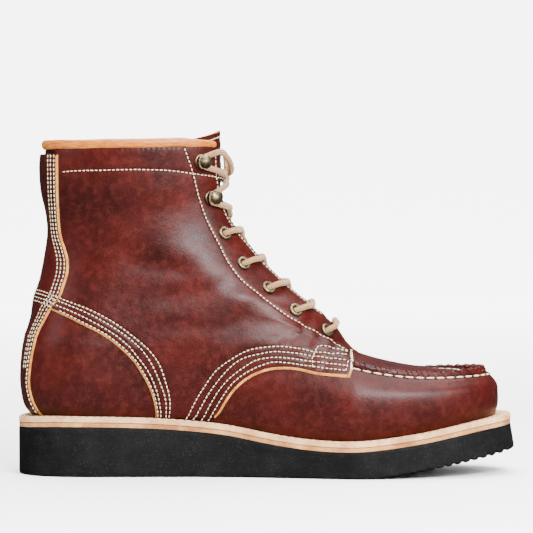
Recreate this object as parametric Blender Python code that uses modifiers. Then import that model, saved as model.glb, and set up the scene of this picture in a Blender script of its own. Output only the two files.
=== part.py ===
"""Moc toe work boot for the right foot: a six inch lace-up on a wedge sole.

The frame has +X towards the toe, +Z up and the outer (lateral) side at -Y.
Its origin is under the middle of the boot's box, on the floor.
Every leather piece is cut from one function, last_point, which gives the surface of the
last by a place around the foot and a level between the welt and the collar.
"""
import math

import bmesh
import bpy
from mathutils import Matrix, Vector

# Driving sizes in metres
SOLE_LENGTH = 0.305
SOLE_WIDTH = 0.110
HEEL_STACK = 0.030
TOE_SPRING = 0.0155
TIP_SLANT = 0.0022
MIDSOLE_THICKNESS = 0.0024
WELT_THICKNESS = 0.0033
WELT_STRIP = 0.016
RIB_PITCH = 0.0054
RIB_DEPTH = 0.0019
RIB_COUNT = 13
INSOLE_THICKNESS = 0.0025
BALL_WIDTH = 0.101
SHAFT_HEIGHT = 0.164
TOE_SWING = 0.006
ARCH_HOLLOW = 0.004
LEATHER = 0.0020
OVERLAY = 0.0015
BACKSTAY_THICKNESS = 0.0020
SEAM_HEIGHT = 0.0017
GAP_BELOW = 0.0065
GAP_ABOVE = 0.0125
TONGUE_THICKNESS = 0.0020
TONGUE_RISE = 0.0095
TONGUE_HALF_WIDTH = 0.027
BINDING_DIAMETER = 0.0056
LACE_DIAMETER = 0.0032
EYELET_RADIUS = 0.0040
EYELET_HOLE = 0.0021
EYELET_HEIGHT = 0.0012
HOOK_BASE_RADIUS = 0.0042
HOOK_NECK_RADIUS = 0.0017
HOOK_HEAD_RADIUS = 0.0037
HOOK_HEIGHT = 0.0056

# Clearances in metres
CLEAR = 0.0003
TONGUE_CLEAR = 0.0014
LACE_CLEAR = 0.0006

# Fineness of the faceted solids
COLUMNS = 37
TURNED_SIDES = 10
TONGUE_COLUMNS = 9
ROWS_PER_TONGUE_END = 2
HEEL_CORNERS = 6
MIDDLE_CORNERS = 13
INSOLE_CORNERS = 36

# Height of the outsole's top along the boot: share of the length, share of the heel stack
SOLE_TOP = (
    (0.00, 0.95), (0.07, 1.00), (0.16, 1.00), (0.25, 0.98), (0.33, 0.935),
    (0.41, 0.855), (0.45, 0.785), (0.50, 0.685), (0.55, 0.605), (0.60, 0.553),
    (0.65, 0.533), (0.70, 0.55), (0.76, 0.62), (0.82, 0.715), (0.88, 0.835),
    (0.94, 0.945), (1.00, 1.01),
)
# Half widths of the outsole: share of the length, shares of the sole's width
SOLE_HALF = (
    ("place", "lateral", "medial"),
    (0.14, 0.350, 0.350),
    (0.42, 0.352, 0.335),
    (0.68, 0.500, 0.500),
)
SPRING_START = 0.70
SPRING_POWER = 1.2
SOLE_NOSE = 0.31
SOLE_NOSE_POWER = 2.4
SOLE_HEEL_NOSE = 0.14
SOLE_HEEL_POWER = 2.3

# Sections of the last from the welt to the collar. Back and front are shares of the sole's
# length, rises are shares of the shaft's height above the welt, half widths are shares of the
# ball width, the two noses are shares of the length. Follow is how far a section keeps to the
# curve of the welt, dip is its sag behind the toe, and crown is its climb over the instep.
SECTIONS = (
    ("back", "back_rise", "front", "front_rise", "heel", "waist", "ball",
     "heel_nose", "nose", "power", "follow", "dip", "crown"),
    (0.031, 0.000, 0.962, 0.000, 0.322, 0.307, 0.460, 0.130, 0.289, 2.35, 1.00, 0.000, 0.000),
    (0.014, 0.045, 0.967, 0.042, 0.343, 0.330, 0.489, 0.132, 0.289, 2.35, 1.00, 0.000, 0.000),
    (0.007, 0.119, 0.967, 0.080, 0.356, 0.342, 0.500, 0.134, 0.289, 2.35, 0.85, 0.000, 0.000),
    (0.007, 0.174, 0.965, 0.110, 0.356, 0.347, 0.490, 0.135, 0.285, 2.35, 0.55, 0.002, 0.000),
    (0.010, 0.242, 0.955, 0.135, 0.353, 0.347, 0.457, 0.137, 0.277, 2.30, 0.32, 0.012, 0.000),
    (0.014, 0.285, 0.944, 0.153, 0.350, 0.347, 0.420, 0.138, 0.269, 2.30, 0.12, 0.021, 0.004),
    (0.016, 0.303, 0.935, 0.162, 0.346, 0.346, 0.394, 0.139, 0.262, 2.30, 0.04, 0.025, 0.014),
    (0.020, 0.321, 0.926, 0.156, 0.342, 0.345, 0.368, 0.140, 0.256, 2.30, 0.00, 0.026, 0.036),
    (0.027, 0.364, 0.859, 0.152, 0.334, 0.342, 0.318, 0.142, 0.215, 2.10, 0.00, 0.010, 0.062),
    (0.033, 0.407, 0.774, 0.174, 0.327, 0.337, 0.280, 0.145, 0.195, 2.00, 0.00, 0.000, 0.082),
    (0.039, 0.444, 0.678, 0.226, 0.318, 0.332, 0.270, 0.148, 0.203, 2.00, 0.00, 0.000, 0.092),
    (0.051, 0.506, 0.578, 0.430, 0.299, 0.318, 0.297, 0.150, 0.185, 2.00, 0.00, 0.000, 0.025),
    (0.061, 0.598, 0.499, 0.567, 0.283, 0.306, 0.306, 0.153, 0.180, 2.00, 0.00, 0.000, 0.000),
    (0.067, 0.683, 0.442, 0.695, 0.287, 0.305, 0.305, 0.157, 0.190, 2.00, 0.00, 0.000, 0.000),
    (0.064, 0.757, 0.418, 0.797, 0.297, 0.314, 0.314, 0.160, 0.197, 2.05, 0.00, 0.000, 0.000),
    (0.054, 0.843, 0.411, 0.879, 0.307, 0.324, 0.324, 0.162, 0.197, 2.10, 0.00, 0.000, 0.000),
    (0.051, 0.929, 0.410, 0.948, 0.313, 0.330, 0.330, 0.163, 0.197, 2.10, 0.00, 0.000, 0.000),
    (0.054, 0.998, 0.409, 1.006, 0.317, 0.334, 0.334, 0.164, 0.197, 2.10, 0.00, 0.000, 0.000),
)
INSTEP_PLACE = 0.52
INSTEP_REACH = 0.14
STATION_HEEL = 0.148
STATION_WAIST = 0.387
STATION_BALL = 0.672
HEEL_POWER = 2.15
SEAM_LEVEL = 6
THROAT_LEVEL = 10
COLLAR_LEVEL = 17
SEAM_START = 0.678
LEVELS = (0, 1, 2, 3, 4, 5, 6, 7, 8, 9, 10, 10.5, 11, 11.5, 12, 13, 14, 15, 16, 17)

# Seen from the side, in shares of the sole's length and of the shaft's height above the welt
# at the heel: the cut edge of the backstay, from the collar down
BACKSTAY_EDGE = (
    (0.087, 1.10), (0.087, 0.93), (0.088, 0.80), (0.092, 0.69), (0.101, 0.630),
    (0.107, 0.585), (0.106, 0.535), (0.098, 0.485), (0.090, 0.446), (0.070, 0.400),
    (0.055, 0.355), (0.043, 0.310), (0.034, 0.244), (0.028, 0.172), (0.027, 0.118),
    (0.034, 0.065), (0.046, 0.022), (0.056, -0.05),
)
# Where the quarter ends over the counter, from the backstay down to the welt
COUNTER_EDGE = (
    (0.090, 0.446), (0.131, 0.365), (0.180, 0.318), (0.213, 0.270), (0.240, 0.221),
    (0.261, 0.160), (0.275, 0.102), (0.283, 0.050), (0.286, -0.06),
)
# Where the quarter ends over the vamp, from the welt up to the flap and the throat
QUARTER_EDGE = (
    (0.390, -0.06), (0.399, 0.004), (0.409, 0.030), (0.420, 0.065), (0.436, 0.107),
    (0.457, 0.143), (0.480, 0.168), (0.507, 0.184), (0.535, 0.188), (0.562, 0.184),
    (0.600, 0.169), (0.664, 0.158), (0.668, 0.195), (0.674, 0.243), (0.677, 0.30),
    (0.700, 1.10),
)
# Eyelets and lace hooks from the throat up, as places seen from the side
EYELETS = (
    (0.617, 0.320), (0.555, 0.397), (0.501, 0.479), (0.453, 0.570), (0.417, 0.682),
)
HOOKS = (
    (0.390, 0.822), (0.372, 0.951),
)
HOOK_LEAN = 28.0
LACE_DROP = 0.40

PAINTS = {
    "oxblood_leather": (0.17, 0.025, 0.016, 0.36, 0.0),
    "tan_leather": (0.62, 0.36, 0.14, 0.5, 0.0),
    "black_rubber": (0.03, 0.03, 0.032, 0.75, 0.0),
    "midsole_leather": (0.50, 0.29, 0.13, 0.7, 0.0),
    "welt_leather": (0.78, 0.61, 0.49, 0.7, 0.0),
    "insole_leather": (0.55, 0.38, 0.22, 0.7, 0.0),
    "aged_brass": (0.27, 0.20, 0.10, 0.4, 1.0),
    "tan_cord": (0.50, 0.36, 0.21, 0.8, 0.0),
}


def through(knots, values, at):
    """Smooth value at a place, on a cubic through the knots, straight on past its ends."""
    last = len(knots) - 1

    def slope(index):
        low = max(index - 1, 0)
        high = min(index + 1, last)
        return (values[high] - values[low]) / (knots[high] - knots[low])

    if at <= knots[0]:
        return values[0] + slope(0) * (at - knots[0])
    if at >= knots[last]:
        return values[last] + slope(last) * (at - knots[last])
    index = max(place for place in range(last) if knots[place] <= at)
    span = knots[index + 1] - knots[index]
    part = (at - knots[index]) / span
    start = values[index]
    end = values[index + 1]
    rise_start = slope(index) * span
    rise_end = slope(index + 1) * span
    return (
        start * (1 + 2 * part) * (1 - part) ** 2
        + rise_start * part * (1 - part) ** 2
        + end * part ** 2 * (3 - 2 * part)
        - rise_end * part ** 2 * (1 - part)
    )


def ease(part):
    """Soft step from 0 to 1."""
    part = min(max(part, 0.0), 1.0)
    return part * part * (3 - 2 * part)


def rounded(part, power):
    """Share of the full width at a share of the nose's length, on a superellipse."""
    part = min(max(part, 0.0), 1.0)
    return (1 - (1 - part) ** power) ** (1 / power)


def swing(x):
    """How far the middle of the foot bends inwards (medially) ahead of the waist."""
    share = max((x / SOLE_LENGTH - 0.45) / 0.55, 0.0)
    return TOE_SWING * share ** 2


def sole_top(x):
    """Height of the outsole's top."""
    places = [row[0] for row in SOLE_TOP]
    heights = [row[1] for row in SOLE_TOP]
    return HEEL_STACK * through(places, heights, x / SOLE_LENGTH)


def sole_bottom(x):
    """Height of the outsole's underside: flat, then up into the toe spring."""
    share = max((x / SOLE_LENGTH - SPRING_START) / (1 - SPRING_START), 0.0)
    return TOE_SPRING * share ** SPRING_POWER


def midsole_bottom(x):
    return sole_top(x) + CLEAR


def midsole_top(x):
    return midsole_bottom(x) + MIDSOLE_THICKNESS


def welt_bottom(x):
    return midsole_top(x) + CLEAR


def welt_top(x):
    return welt_bottom(x) + WELT_THICKNESS


def insole_bottom(x):
    return welt_top(x) + CLEAR


def insole_top(x):
    return insole_bottom(x) + INSOLE_THICKNESS


def sole_point(around, inset, height, slant=0.0):
    """A point of the sole's outline, at a place around it and a distance in from its edge."""
    share = (1 + math.cos(math.tau * around)) / 2
    side = -1 if around < 0.5 else 1
    column = 1 if side < 0 else 2
    places = [row[0] for row in SOLE_HALF[1:]]
    halves = [row[column] for row in SOLE_HALF[1:]]
    place = min(max(share, places[0]), places[-1])
    half = SOLE_WIDTH * through(places, halves, place) - inset
    half *= rounded((1 - share) / SOLE_NOSE, SOLE_NOSE_POWER)
    half *= rounded(share / SOLE_HEEL_NOSE, SOLE_HEEL_POWER)
    x = inset + share * (SOLE_LENGTH - 2 * inset - slant)
    return Vector((x, swing(x) + side * half, height(x)))


def last_point(around, level):
    """A point of the last's surface, by a place around the foot and a level up the boot."""
    names = SECTIONS[0]
    knots = range(len(SECTIONS) - 1)
    row = {
        name: through(knots, [section[column] for section in SECTIONS[1:]], level)
        for column, name in enumerate(names)
    }
    around %= 1.0
    side = -1 if around < 0.5 else 1
    share = (1 + math.cos(math.tau * around)) / 2
    back = SOLE_LENGTH * row["back"]
    front = SOLE_LENGTH * row["front"]
    x = back + (front - back) * share
    place = min(max(x / SOLE_LENGTH, STATION_HEEL), STATION_BALL)
    stations = (STATION_HEEL, STATION_WAIST, STATION_BALL)
    half = BALL_WIDTH * through(stations, (row["heel"], row["waist"], row["ball"]), place)
    if side > 0:
        hollow = math.exp(-((x / SOLE_LENGTH - 0.43) / 0.13) ** 2)
        half -= ARCH_HOLLOW * row["follow"] * hollow
    front_round = rounded((front - x) / (SOLE_LENGTH * row["nose"]), row["power"])
    half *= front_round
    half *= rounded((x - back) / (SOLE_LENGTH * row["heel_nose"]), HEEL_POWER)
    straight = welt_top(0) + (welt_top(SOLE_LENGTH) - welt_top(0)) * x / SOLE_LENGTH
    welt = straight + row["follow"] * (welt_top(x) - straight)
    rise = row["back_rise"] + (row["front_rise"] - row["back_rise"]) * share
    sag_start = SOLE_LENGTH * 0.64
    sag_share = min(max((x - sag_start) / max(front - sag_start, 0.001), 0.0), 1.0)
    rise -= row["dip"] * math.sin(math.pi * sag_share)
    instep = math.exp(-((x / SOLE_LENGTH - INSTEP_PLACE) / INSTEP_REACH) ** 2)
    rise += row["crown"] * instep * front_round
    height = welt + CLEAR + SHAFT_HEIGHT * rise
    return Vector((x, swing(x) + side * half, height))


def last_normal(around, level):
    """The outward direction of the last's surface."""
    step = 0.004
    low = max(level - 0.05, 0)
    along = last_point(around + step, level) - last_point(around - step, level)
    up = last_point(around, low + 0.1) - last_point(around, low)
    normal = up.cross(along)
    if level <= 0:
        normal.z = 0
    return normal.normalized()


def seam_lift(around, level):
    """Height of the puckered moc seam that runs round the apron, over the plain surface."""
    x = last_point(around, level).x / SOLE_LENGTH
    across = max(1 - abs(level - SEAM_LEVEL), 0.0)
    return SEAM_HEIGHT * across * ease((x - SEAM_START) / 0.02)


def gap_half(level):
    """Half of the space between the two facings."""
    share = ease((level - THROAT_LEVEL) / (COLLAR_LEVEL - THROAT_LEVEL))
    return GAP_BELOW + (GAP_ABOVE - GAP_BELOW) * share


def around_at(level, distance):
    """The place around the front of a section that lies a distance from its middle line."""
    low = 0.0
    high = 0.25
    for _ in range(30):
        middle = (low + high) / 2
        point = last_point(middle, level)
        if swing(point.x) - point.y < distance:
            low = middle
        else:
            high = middle
    return (low + high) / 2


def row_places(level):
    """Places around a section, from the lateral facing's edge by the heel to the medial one."""
    edge = around_at(level, gap_half(level))
    return [edge + (1 - 2 * edge) * index / (COLUMNS - 1) for index in range(COLUMNS)]


def on_side(place, rise):
    """The place around and the level of a spot that is seen from the lateral side."""
    x = place * SOLE_LENGTH
    z = welt_top(0) + rise * SHAFT_HEIGHT

    def miss(around, level):
        point = last_point(around, level)
        return point.x - x, point.z - z

    tries = [(a / 60, v / 2) for a in range(2, 29) for v in range(0, 2 * COLLAR_LEVEL + 1)]
    around, level = min(tries, key=lambda spot: math.hypot(*miss(*spot)))
    step = 0.0005
    for _ in range(8):
        dx, dz = miss(around, level)
        ax, az = miss(around + step, level)
        vx, vz = miss(around, level + step)
        a11, a12 = (ax - dx) / step, (vx - dx) / step
        a21, a22 = (az - dz) / step, (vz - dz) / step
        size = a11 * a22 - a12 * a21
        around -= (dx * a22 - dz * a12) / size
        level -= (dz * a11 - dx * a21) / size
    return around, level


def paint(name):
    """A plain material for one finish."""
    material = bpy.data.materials.get(name)
    if material is None:
        red, green, blue, roughness, metallic = PAINTS[name]
        material = bpy.data.materials.new(name)
        material.use_nodes = True
        shader = material.node_tree.nodes["Principled BSDF"]
        shader.inputs["Base Color"].default_value = (red, green, blue, 1)
        shader.inputs["Roughness"].default_value = roughness
        shader.inputs["Metallic"].default_value = metallic
    return material


def add_object(name, data, finish, collection):
    """Puts a mesh or curve in the scene with its finish."""
    piece = bpy.data.objects.new(name, data)
    data.materials.append(paint(finish))
    collection.objects.link(piece)
    return piece


def finish_mesh(name, body, finish, collection, smooth=True):
    """Turns a closed bmesh into an object whose faces point out."""
    bmesh.ops.recalc_face_normals(body, faces=body.faces)
    data = bpy.data.meshes.new(name)
    body.to_mesh(data)
    body.free()
    if smooth:
        data.shade_smooth()
        data.set_sharp_from_angle(angle=math.radians(40))
    return add_object(name, data, finish, collection)


def wall(name, rows, low, high, finish, collection, lift=None, closed_rows=0):
    """A wall of even thickness on the last, between two distances from its surface.

    Each row is a level and its places around. Below closed_rows the rows go right round
    through the middle of the front.
    """
    body = bmesh.new()

    def corner(around, level):
        point = last_point(around, level)
        normal = last_normal(around, level)
        raised = lift(around, level) if lift else 0.0
        inner = body.verts.new(point + normal * low)
        outer = body.verts.new(point + normal * (high + raised))
        return inner, outer

    grid = []
    for index, (level, places) in enumerate(rows):
        corners = [corner(around, level) for around in places]
        if index < closed_rows:
            corners.append(corner(0.0, level))
            corners.append(corners[0])
        grid.append(corners)
    for index in range(len(grid) - 1):
        below = grid[index]
        above = grid[index + 1]
        for column in range(min(len(below), len(above)) - 1):
            square = (below[column], below[column + 1], above[column + 1], above[column])
            for three in ((0, 1, 2), (0, 2, 3)):
                body.faces.new([square[k][1] for k in three])
                body.faces.new([square[k][0] for k in reversed(three)])
    partner = {}
    for corners in grid:
        for inner, outer in corners:
            partner[outer] = inner
    rim = [edge for edge in body.edges if edge.is_boundary and edge.verts[0] in partner]
    for edge in rim:
        one, two = edge.verts
        body.faces.new((one, two, partner[two]))
        body.faces.new((one, partner[two], partner[one]))
    return finish_mesh(name, body, finish, collection)


def stack(name, loops, finish, collection, ring=False):
    """A solid through loops of equal count: capped slabs, or a ring that closes on itself."""
    body = bmesh.new()
    layers = [[body.verts.new(point) for point in loop] for loop in loops]
    pairs = list(zip(layers, layers[1:]))
    if ring:
        pairs.append((layers[-1], layers[0]))
    count = len(layers[0])
    for below, above in pairs:
        for index in range(count):
            after = (index + 1) % count
            body.faces.new((below[index], below[after], above[after]))
            body.faces.new((below[index], above[after], above[index]))
    if not ring:
        for layer in (layers[0], layers[-1]):
            for index in range(count // 2):
                left = layer[index + 1]
                right = layer[(count - index - 1) % count]
                if index == 0:
                    body.faces.new((layer[0], left, right))
                elif index == count // 2 - 1:
                    body.faces.new((layer[index], layer[count - index], left))
                else:
                    body.faces.new((layer[index], left, right))
                    body.faces.new((layer[index], right, layer[count - index]))
    return finish_mesh(name, body, finish, collection)


def ring_places(shares):
    """Places around an outline, from the tip by the lateral side, for shares of its length."""
    half = [math.acos(2 * share - 1) / math.tau for share in sorted(shares, reverse=True)]
    return half + [1 - around for around in reversed(half[1:-1])]


def sole_shares():
    """Shares of the length at which the sole's outline has its corners."""
    turn = math.pi / 2 / HEEL_CORNERS
    heel = [SOLE_HEEL_NOSE * (1 - math.cos(turn * step)) for step in range(HEEL_CORNERS)]
    first_rib = 0.985 - RIB_COUNT * RIB_PITCH / SOLE_LENGTH
    span = first_rib - SOLE_HEEL_NOSE
    middle = [SOLE_HEEL_NOSE + span * step / MIDDLE_CORNERS for step in range(MIDDLE_CORNERS)]
    ribs = [first_rib + step * RIB_PITCH / 2 / SOLE_LENGTH for step in range(2 * RIB_COUNT + 1)]
    return heel + middle + ribs + [0.995, 1.0]


def plain_shares():
    """Corners of the thin layers: the sole's, without every second one under the ribs."""
    shares = sole_shares()
    ribs_from = HEEL_CORNERS + MIDDLE_CORNERS
    return shares[:ribs_from] + shares[ribs_from:-2:3] + shares[-2:]


def ribbed_bottom(x):
    """Underside of the outsole with the rounded cross ribs under the toe."""
    end = 0.985 * SOLE_LENGTH
    start = end - RIB_COUNT * RIB_PITCH
    if x < start or x > end:
        return sole_bottom(x)
    wave = 0.5 - 0.5 * math.cos(math.tau * (x - start) / RIB_PITCH)
    return sole_bottom(x) + RIB_DEPTH * wave


def build_sole(collection):
    places = ring_places(sole_shares())
    bottom_edge = 0.0012
    outsole = [
        [sole_point(around, bottom_edge, ribbed_bottom) for around in places],
        [sole_point(around, 0.0, lambda x: ribbed_bottom(x) + bottom_edge) for around in places],
        [sole_point(around, 0.0, sole_top, TIP_SLANT) for around in places],
    ]
    stack("outsole", outsole, "black_rubber", collection)
    places = ring_places(plain_shares())
    midsole = [
        [sole_point(around, 0.0, height, TIP_SLANT) for around in places]
        for height in (midsole_bottom, midsole_top)
    ]
    stack("midsole", midsole, "midsole_leather", collection)
    welt = [
        [sole_point(around, inset, height, TIP_SLANT) for around in places]
        for inset, height in (
            (0.0, welt_bottom), (0.0, welt_top),
            (WELT_STRIP, welt_top), (WELT_STRIP, welt_bottom),
        )
    ]
    stack("welt", welt, "welt_leather", collection, ring=True)


def build_insole(collection):
    """A board that fills the welt's opening and reaches the foot of the upper's wall."""
    places = [step / INSOLE_CORNERS for step in range(INSOLE_CORNERS)]
    wall_inset = LEATHER + TONGUE_CLEAR

    def board(around, height):
        normal = last_normal(around, 0)
        flat = Vector((normal.x, normal.y, 0)).normalized()
        point = last_point(around, 0) - flat * wall_inset
        return Vector((point.x, point.y, height(point.x)))

    plug = WELT_STRIP + 2 * CLEAR
    loops = [
        [sole_point(around, plug, welt_bottom, TIP_SLANT) for around in places],
        [sole_point(around, plug, insole_bottom, TIP_SLANT) for around in places],
        [board(around, insole_bottom) for around in places],
        [board(around, insole_top) for around in places],
    ]
    stack("insole", loops, "insole_leather", collection)


def build_upper(collection):
    rows = [(level, row_places(level)) for level in LEVELS]
    closed = sum(level <= THROAT_LEVEL for level in LEVELS)
    wall("upper", rows, -LEATHER, 0.0, "oxblood_leather", collection, seam_lift, closed)


def side_to_frame(place, rise):
    return place * SOLE_LENGTH, welt_top(0) + rise * SHAFT_HEIGHT


def side_cutter(name, outline, side, collection):
    """A block across one side of the boot whose outline is drawn in the side view."""
    curve = bpy.data.curves.new(name, "CURVE")
    curve.dimensions = "2D"
    curve.fill_mode = "BOTH"
    depth = SOLE_WIDTH
    curve.extrude = depth / 2
    spline = curve.splines.new("POLY")
    spline.points.add(len(outline) - 1)
    for point, (place, rise) in zip(spline.points, outline):
        x, z = side_to_frame(place, rise)
        point.co = (x, z, 0, 1)
    spline.use_cyclic_u = True
    drawn = bpy.data.objects.new(name + "_outline", curve)
    drawn.rotation_euler = (math.pi / 2, 0, 0)
    drawn.location = (0, side * depth / 2 if side else 0, 0)
    collection.objects.link(drawn)
    bpy.context.view_layer.update()
    graph = bpy.context.evaluated_depsgraph_get()
    data = bpy.data.meshes.new_from_object(drawn.evaluated_get(graph))
    body = bmesh.new()
    body.from_mesh(data)
    bmesh.ops.remove_doubles(body, verts=body.verts, dist=0.00001)
    bmesh.ops.recalc_face_normals(body, faces=body.faces)
    body.to_mesh(data)
    body.free()
    cutter = bpy.data.objects.new(name, data)
    cutter.matrix_world = drawn.matrix_world.copy()
    bpy.data.objects.remove(drawn)
    cutter.hide_render = True
    cutter.display_type = "WIRE"
    collection.objects.link(cutter)
    return cutter


def keep_inside(piece, cutter):
    """Leaves the part of a piece that lies inside the cutter."""
    cut = piece.modifiers.new("cut", "BOOLEAN")
    cut.operation = "INTERSECT"
    cut.solver = "EXACT"
    cut.object = cutter


def build_overlays(collection, cutters):
    """The two quarters and the backstay, cut from walls that lie on the upper."""
    seam = CLEAR / SOLE_LENGTH
    backstay_side = [(place + 2 * seam, rise) for place, rise in BACKSTAY_EDGE
                     if rise > COUNTER_EDGE[0][1]]
    quarter = backstay_side + list(COUNTER_EDGE) + list(QUARTER_EDGE)
    outer = 2 * CLEAR + OVERLAY
    middle = COLUMNS // 2
    for name, side, columns in (
        ("quarter_lateral", -1, slice(0, middle + 1)),
        ("quarter_medial", 1, slice(middle, COLUMNS)),
    ):
        rows = [(level, row_places(level)[columns]) for level in LEVELS]
        piece = wall(name, rows, CLEAR, outer - CLEAR, "oxblood_leather", collection)
        keep_inside(piece, side_cutter(name + "_shape", quarter, side, cutters))
    behind = -0.08
    backstay = [(behind, BACKSTAY_EDGE[0][1])] + list(BACKSTAY_EDGE)
    backstay.append((behind, BACKSTAY_EDGE[-1][1]))
    reach = 6
    rows = [(level, row_places(level)[middle - reach:middle + reach + 1]) for level in LEVELS]
    piece = wall(
        "backstay", rows, CLEAR, CLEAR + BACKSTAY_THICKNESS, "oxblood_leather", collection
    )
    keep_inside(piece, side_cutter("backstay_shape", backstay, 0, cutters))


def build_tongue(collection):
    """The tongue lies under both facings and stands a little above the collar."""
    top = COLLAR_LEVEL + TONGUE_RISE / (SHAFT_HEIGHT * 0.06)
    levels = [9.4, 9.7] + [level for level in LEVELS if level >= THROAT_LEVEL]
    levels += [
        COLLAR_LEVEL + (top - COLLAR_LEVEL) * step / ROWS_PER_TONGUE_END
        for step in range(1, ROWS_PER_TONGUE_END + 1)
    ]
    rows = []
    for level in levels:
        share = ease((level - THROAT_LEVEL) / (COLLAR_LEVEL - THROAT_LEVEL))
        reach = around_at(min(level, COLLAR_LEVEL), TONGUE_HALF_WIDTH * (0.55 + 0.4 * share))
        places = [
            reach * (2 * column / (TONGUE_COLUMNS - 1) - 1) for column in range(TONGUE_COLUMNS)
        ]
        rows.append((level, places))
    inner = LEATHER + TONGUE_CLEAR + TONGUE_THICKNESS
    wall("tongue", rows, -inner, -inner + TONGUE_THICKNESS, "oxblood_leather", collection)


def tube(name, points, diameter, finish, collection):
    """A round tube with closed ends along a line of points."""
    curve = bpy.data.curves.new(name, "CURVE")
    curve.dimensions = "3D"
    curve.bevel_depth = diameter / 2
    curve.bevel_resolution = 2
    curve.use_fill_caps = True
    spline = curve.splines.new("POLY")
    spline.points.add(len(points) - 1)
    for point, place in zip(spline.points, points):
        point.co = (*place, 1)
    return add_object(name, curve, finish, collection)


def build_binding(collection):
    """The rolled leather binding on the collar's edge."""
    thickness = LEATHER + OVERLAY + CLEAR
    lift = CLEAR + BINDING_DIAMETER / 2 + 0.0002
    middle = thickness / 2 - LEATHER
    points = []
    for around in row_places(COLLAR_LEVEL)[::2]:
        normal = last_normal(around, COLLAR_LEVEL)
        flat = Vector((normal.x, normal.y, 0)).normalized()
        point = last_point(around, COLLAR_LEVEL) + flat * middle
        points.append(point + Vector((0, 0, lift)))
    tube("collar_binding", points, BINDING_DIAMETER, "tan_leather", collection)


def turned(name, profile, place, axis, collection):
    """A turned brass piece: its profile runs down the outer side, and its axis is given."""
    body = bmesh.new()
    loop = [body.verts.new((radius, 0, height)) for radius, height in profile]
    for one, two in zip(loop, loop[1:]):
        body.edges.new((one, two))
    if profile[0][0] > 0:
        body.edges.new((loop[-1], loop[0]))
    data = bpy.data.meshes.new(name)
    body.to_mesh(data)
    body.free()
    piece = add_object(name, data, "aged_brass", collection)
    piece.rotation_mode = "QUATERNION"
    piece.rotation_quaternion = Vector((0, 0, 1)).rotation_difference(axis)
    piece.location = place
    screw = piece.modifiers.new("turn", "SCREW")
    screw.steps = TURNED_SIDES
    screw.render_steps = TURNED_SIDES
    screw.use_merge_vertices = True
    screw.merge_threshold = 0.00001
    screw.use_smooth_shade = True
    return piece


def mirrored(place, side):
    """A spot of the lateral side, or the same spot of the medial side."""
    around, level = place
    return (around, level) if side < 0 else (1 - around, level)


def outer_point(around, level, distance):
    return last_point(around, level) + last_normal(around, level) * distance


def build_eyelets(collection):
    skin = CLEAR + OVERLAY
    rim = EYELET_HEIGHT * 0.4
    for number, spot in enumerate(EYELETS, 1):
        place = on_side(*spot)
        for side, word in ((-1, "lateral"), (1, "medial")):
            around, level = mirrored(place, side)
            axis = last_normal(around, level)
            foot = outer_point(around, level, skin + 2 * CLEAR)
            profile = (
                (EYELET_HOLE, EYELET_HEIGHT),
                (EYELET_RADIUS - rim, EYELET_HEIGHT),
                (EYELET_RADIUS, rim),
                (EYELET_RADIUS, 0),
                (EYELET_HOLE, 0),
            )
            turned(f"eyelet_{number}_{word}", profile, foot, axis, collection)


def lean_forward(piece, axis):
    """Shears a turned piece towards the toe, so that its foot still lies flat."""
    bpy.context.view_layer.update()
    graph = bpy.context.evaluated_depsgraph_get()
    data = bpy.data.meshes.new_from_object(piece.evaluated_get(graph))
    turn = Vector((0, 0, 1)).rotation_difference(axis)
    forward = turn.inverted() @ Vector((1, 0, 0))
    forward.z = 0
    forward = forward.normalized() * math.tan(math.radians(HOOK_LEAN))
    data.transform(Matrix.Shear("XY", 4, (forward.x, forward.y)))
    piece.modifiers.clear()
    piece.data = data


def hook_lean(around, level):
    """How far a hook's head lies ahead of its foot, for each metre above the surface."""
    normal = last_normal(around, level)
    ahead = Vector((1, 0, 0)) - normal * normal.x
    return normal + ahead.normalized() * math.tan(math.radians(HOOK_LEAN))


def build_hooks(collection):
    skin = CLEAR + OVERLAY
    for number, spot in enumerate(HOOKS, 1):
        place = on_side(*spot)
        for side, word in ((-1, "lateral"), (1, "medial")):
            around, level = mirrored(place, side)
            axis = last_normal(around, level)
            foot = outer_point(around, level, skin + 2 * CLEAR)
            head = HOOK_HEIGHT * 0.68
            profile = (
                (0, HOOK_HEIGHT),
                (HOOK_HEAD_RADIUS * 0.62, HOOK_HEIGHT * 0.95),
                (HOOK_HEAD_RADIUS, HOOK_HEIGHT * 0.76),
                (HOOK_HEAD_RADIUS * 0.93, head),
                (HOOK_NECK_RADIUS, HOOK_HEIGHT * 0.6),
                (HOOK_NECK_RADIUS, HOOK_HEIGHT * 0.18),
                (HOOK_BASE_RADIUS, HOOK_HEIGHT * 0.12),
                (HOOK_BASE_RADIUS, 0),
                (0, 0),
            )
            piece = turned(f"lace_hook_{number}_{word}", profile, foot, axis, collection)
            lean_forward(piece, axis)


def strand(points, steps=3):
    """More points along a smooth line through the given ones."""
    knots = list(range(len(points)))
    places = [step / steps for step in range((len(points) - 1) * steps + 1)]
    return [
        Vector([through(knots, [point[k] for point in points], at) for k in range(3)])
        for at in places
    ]


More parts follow.
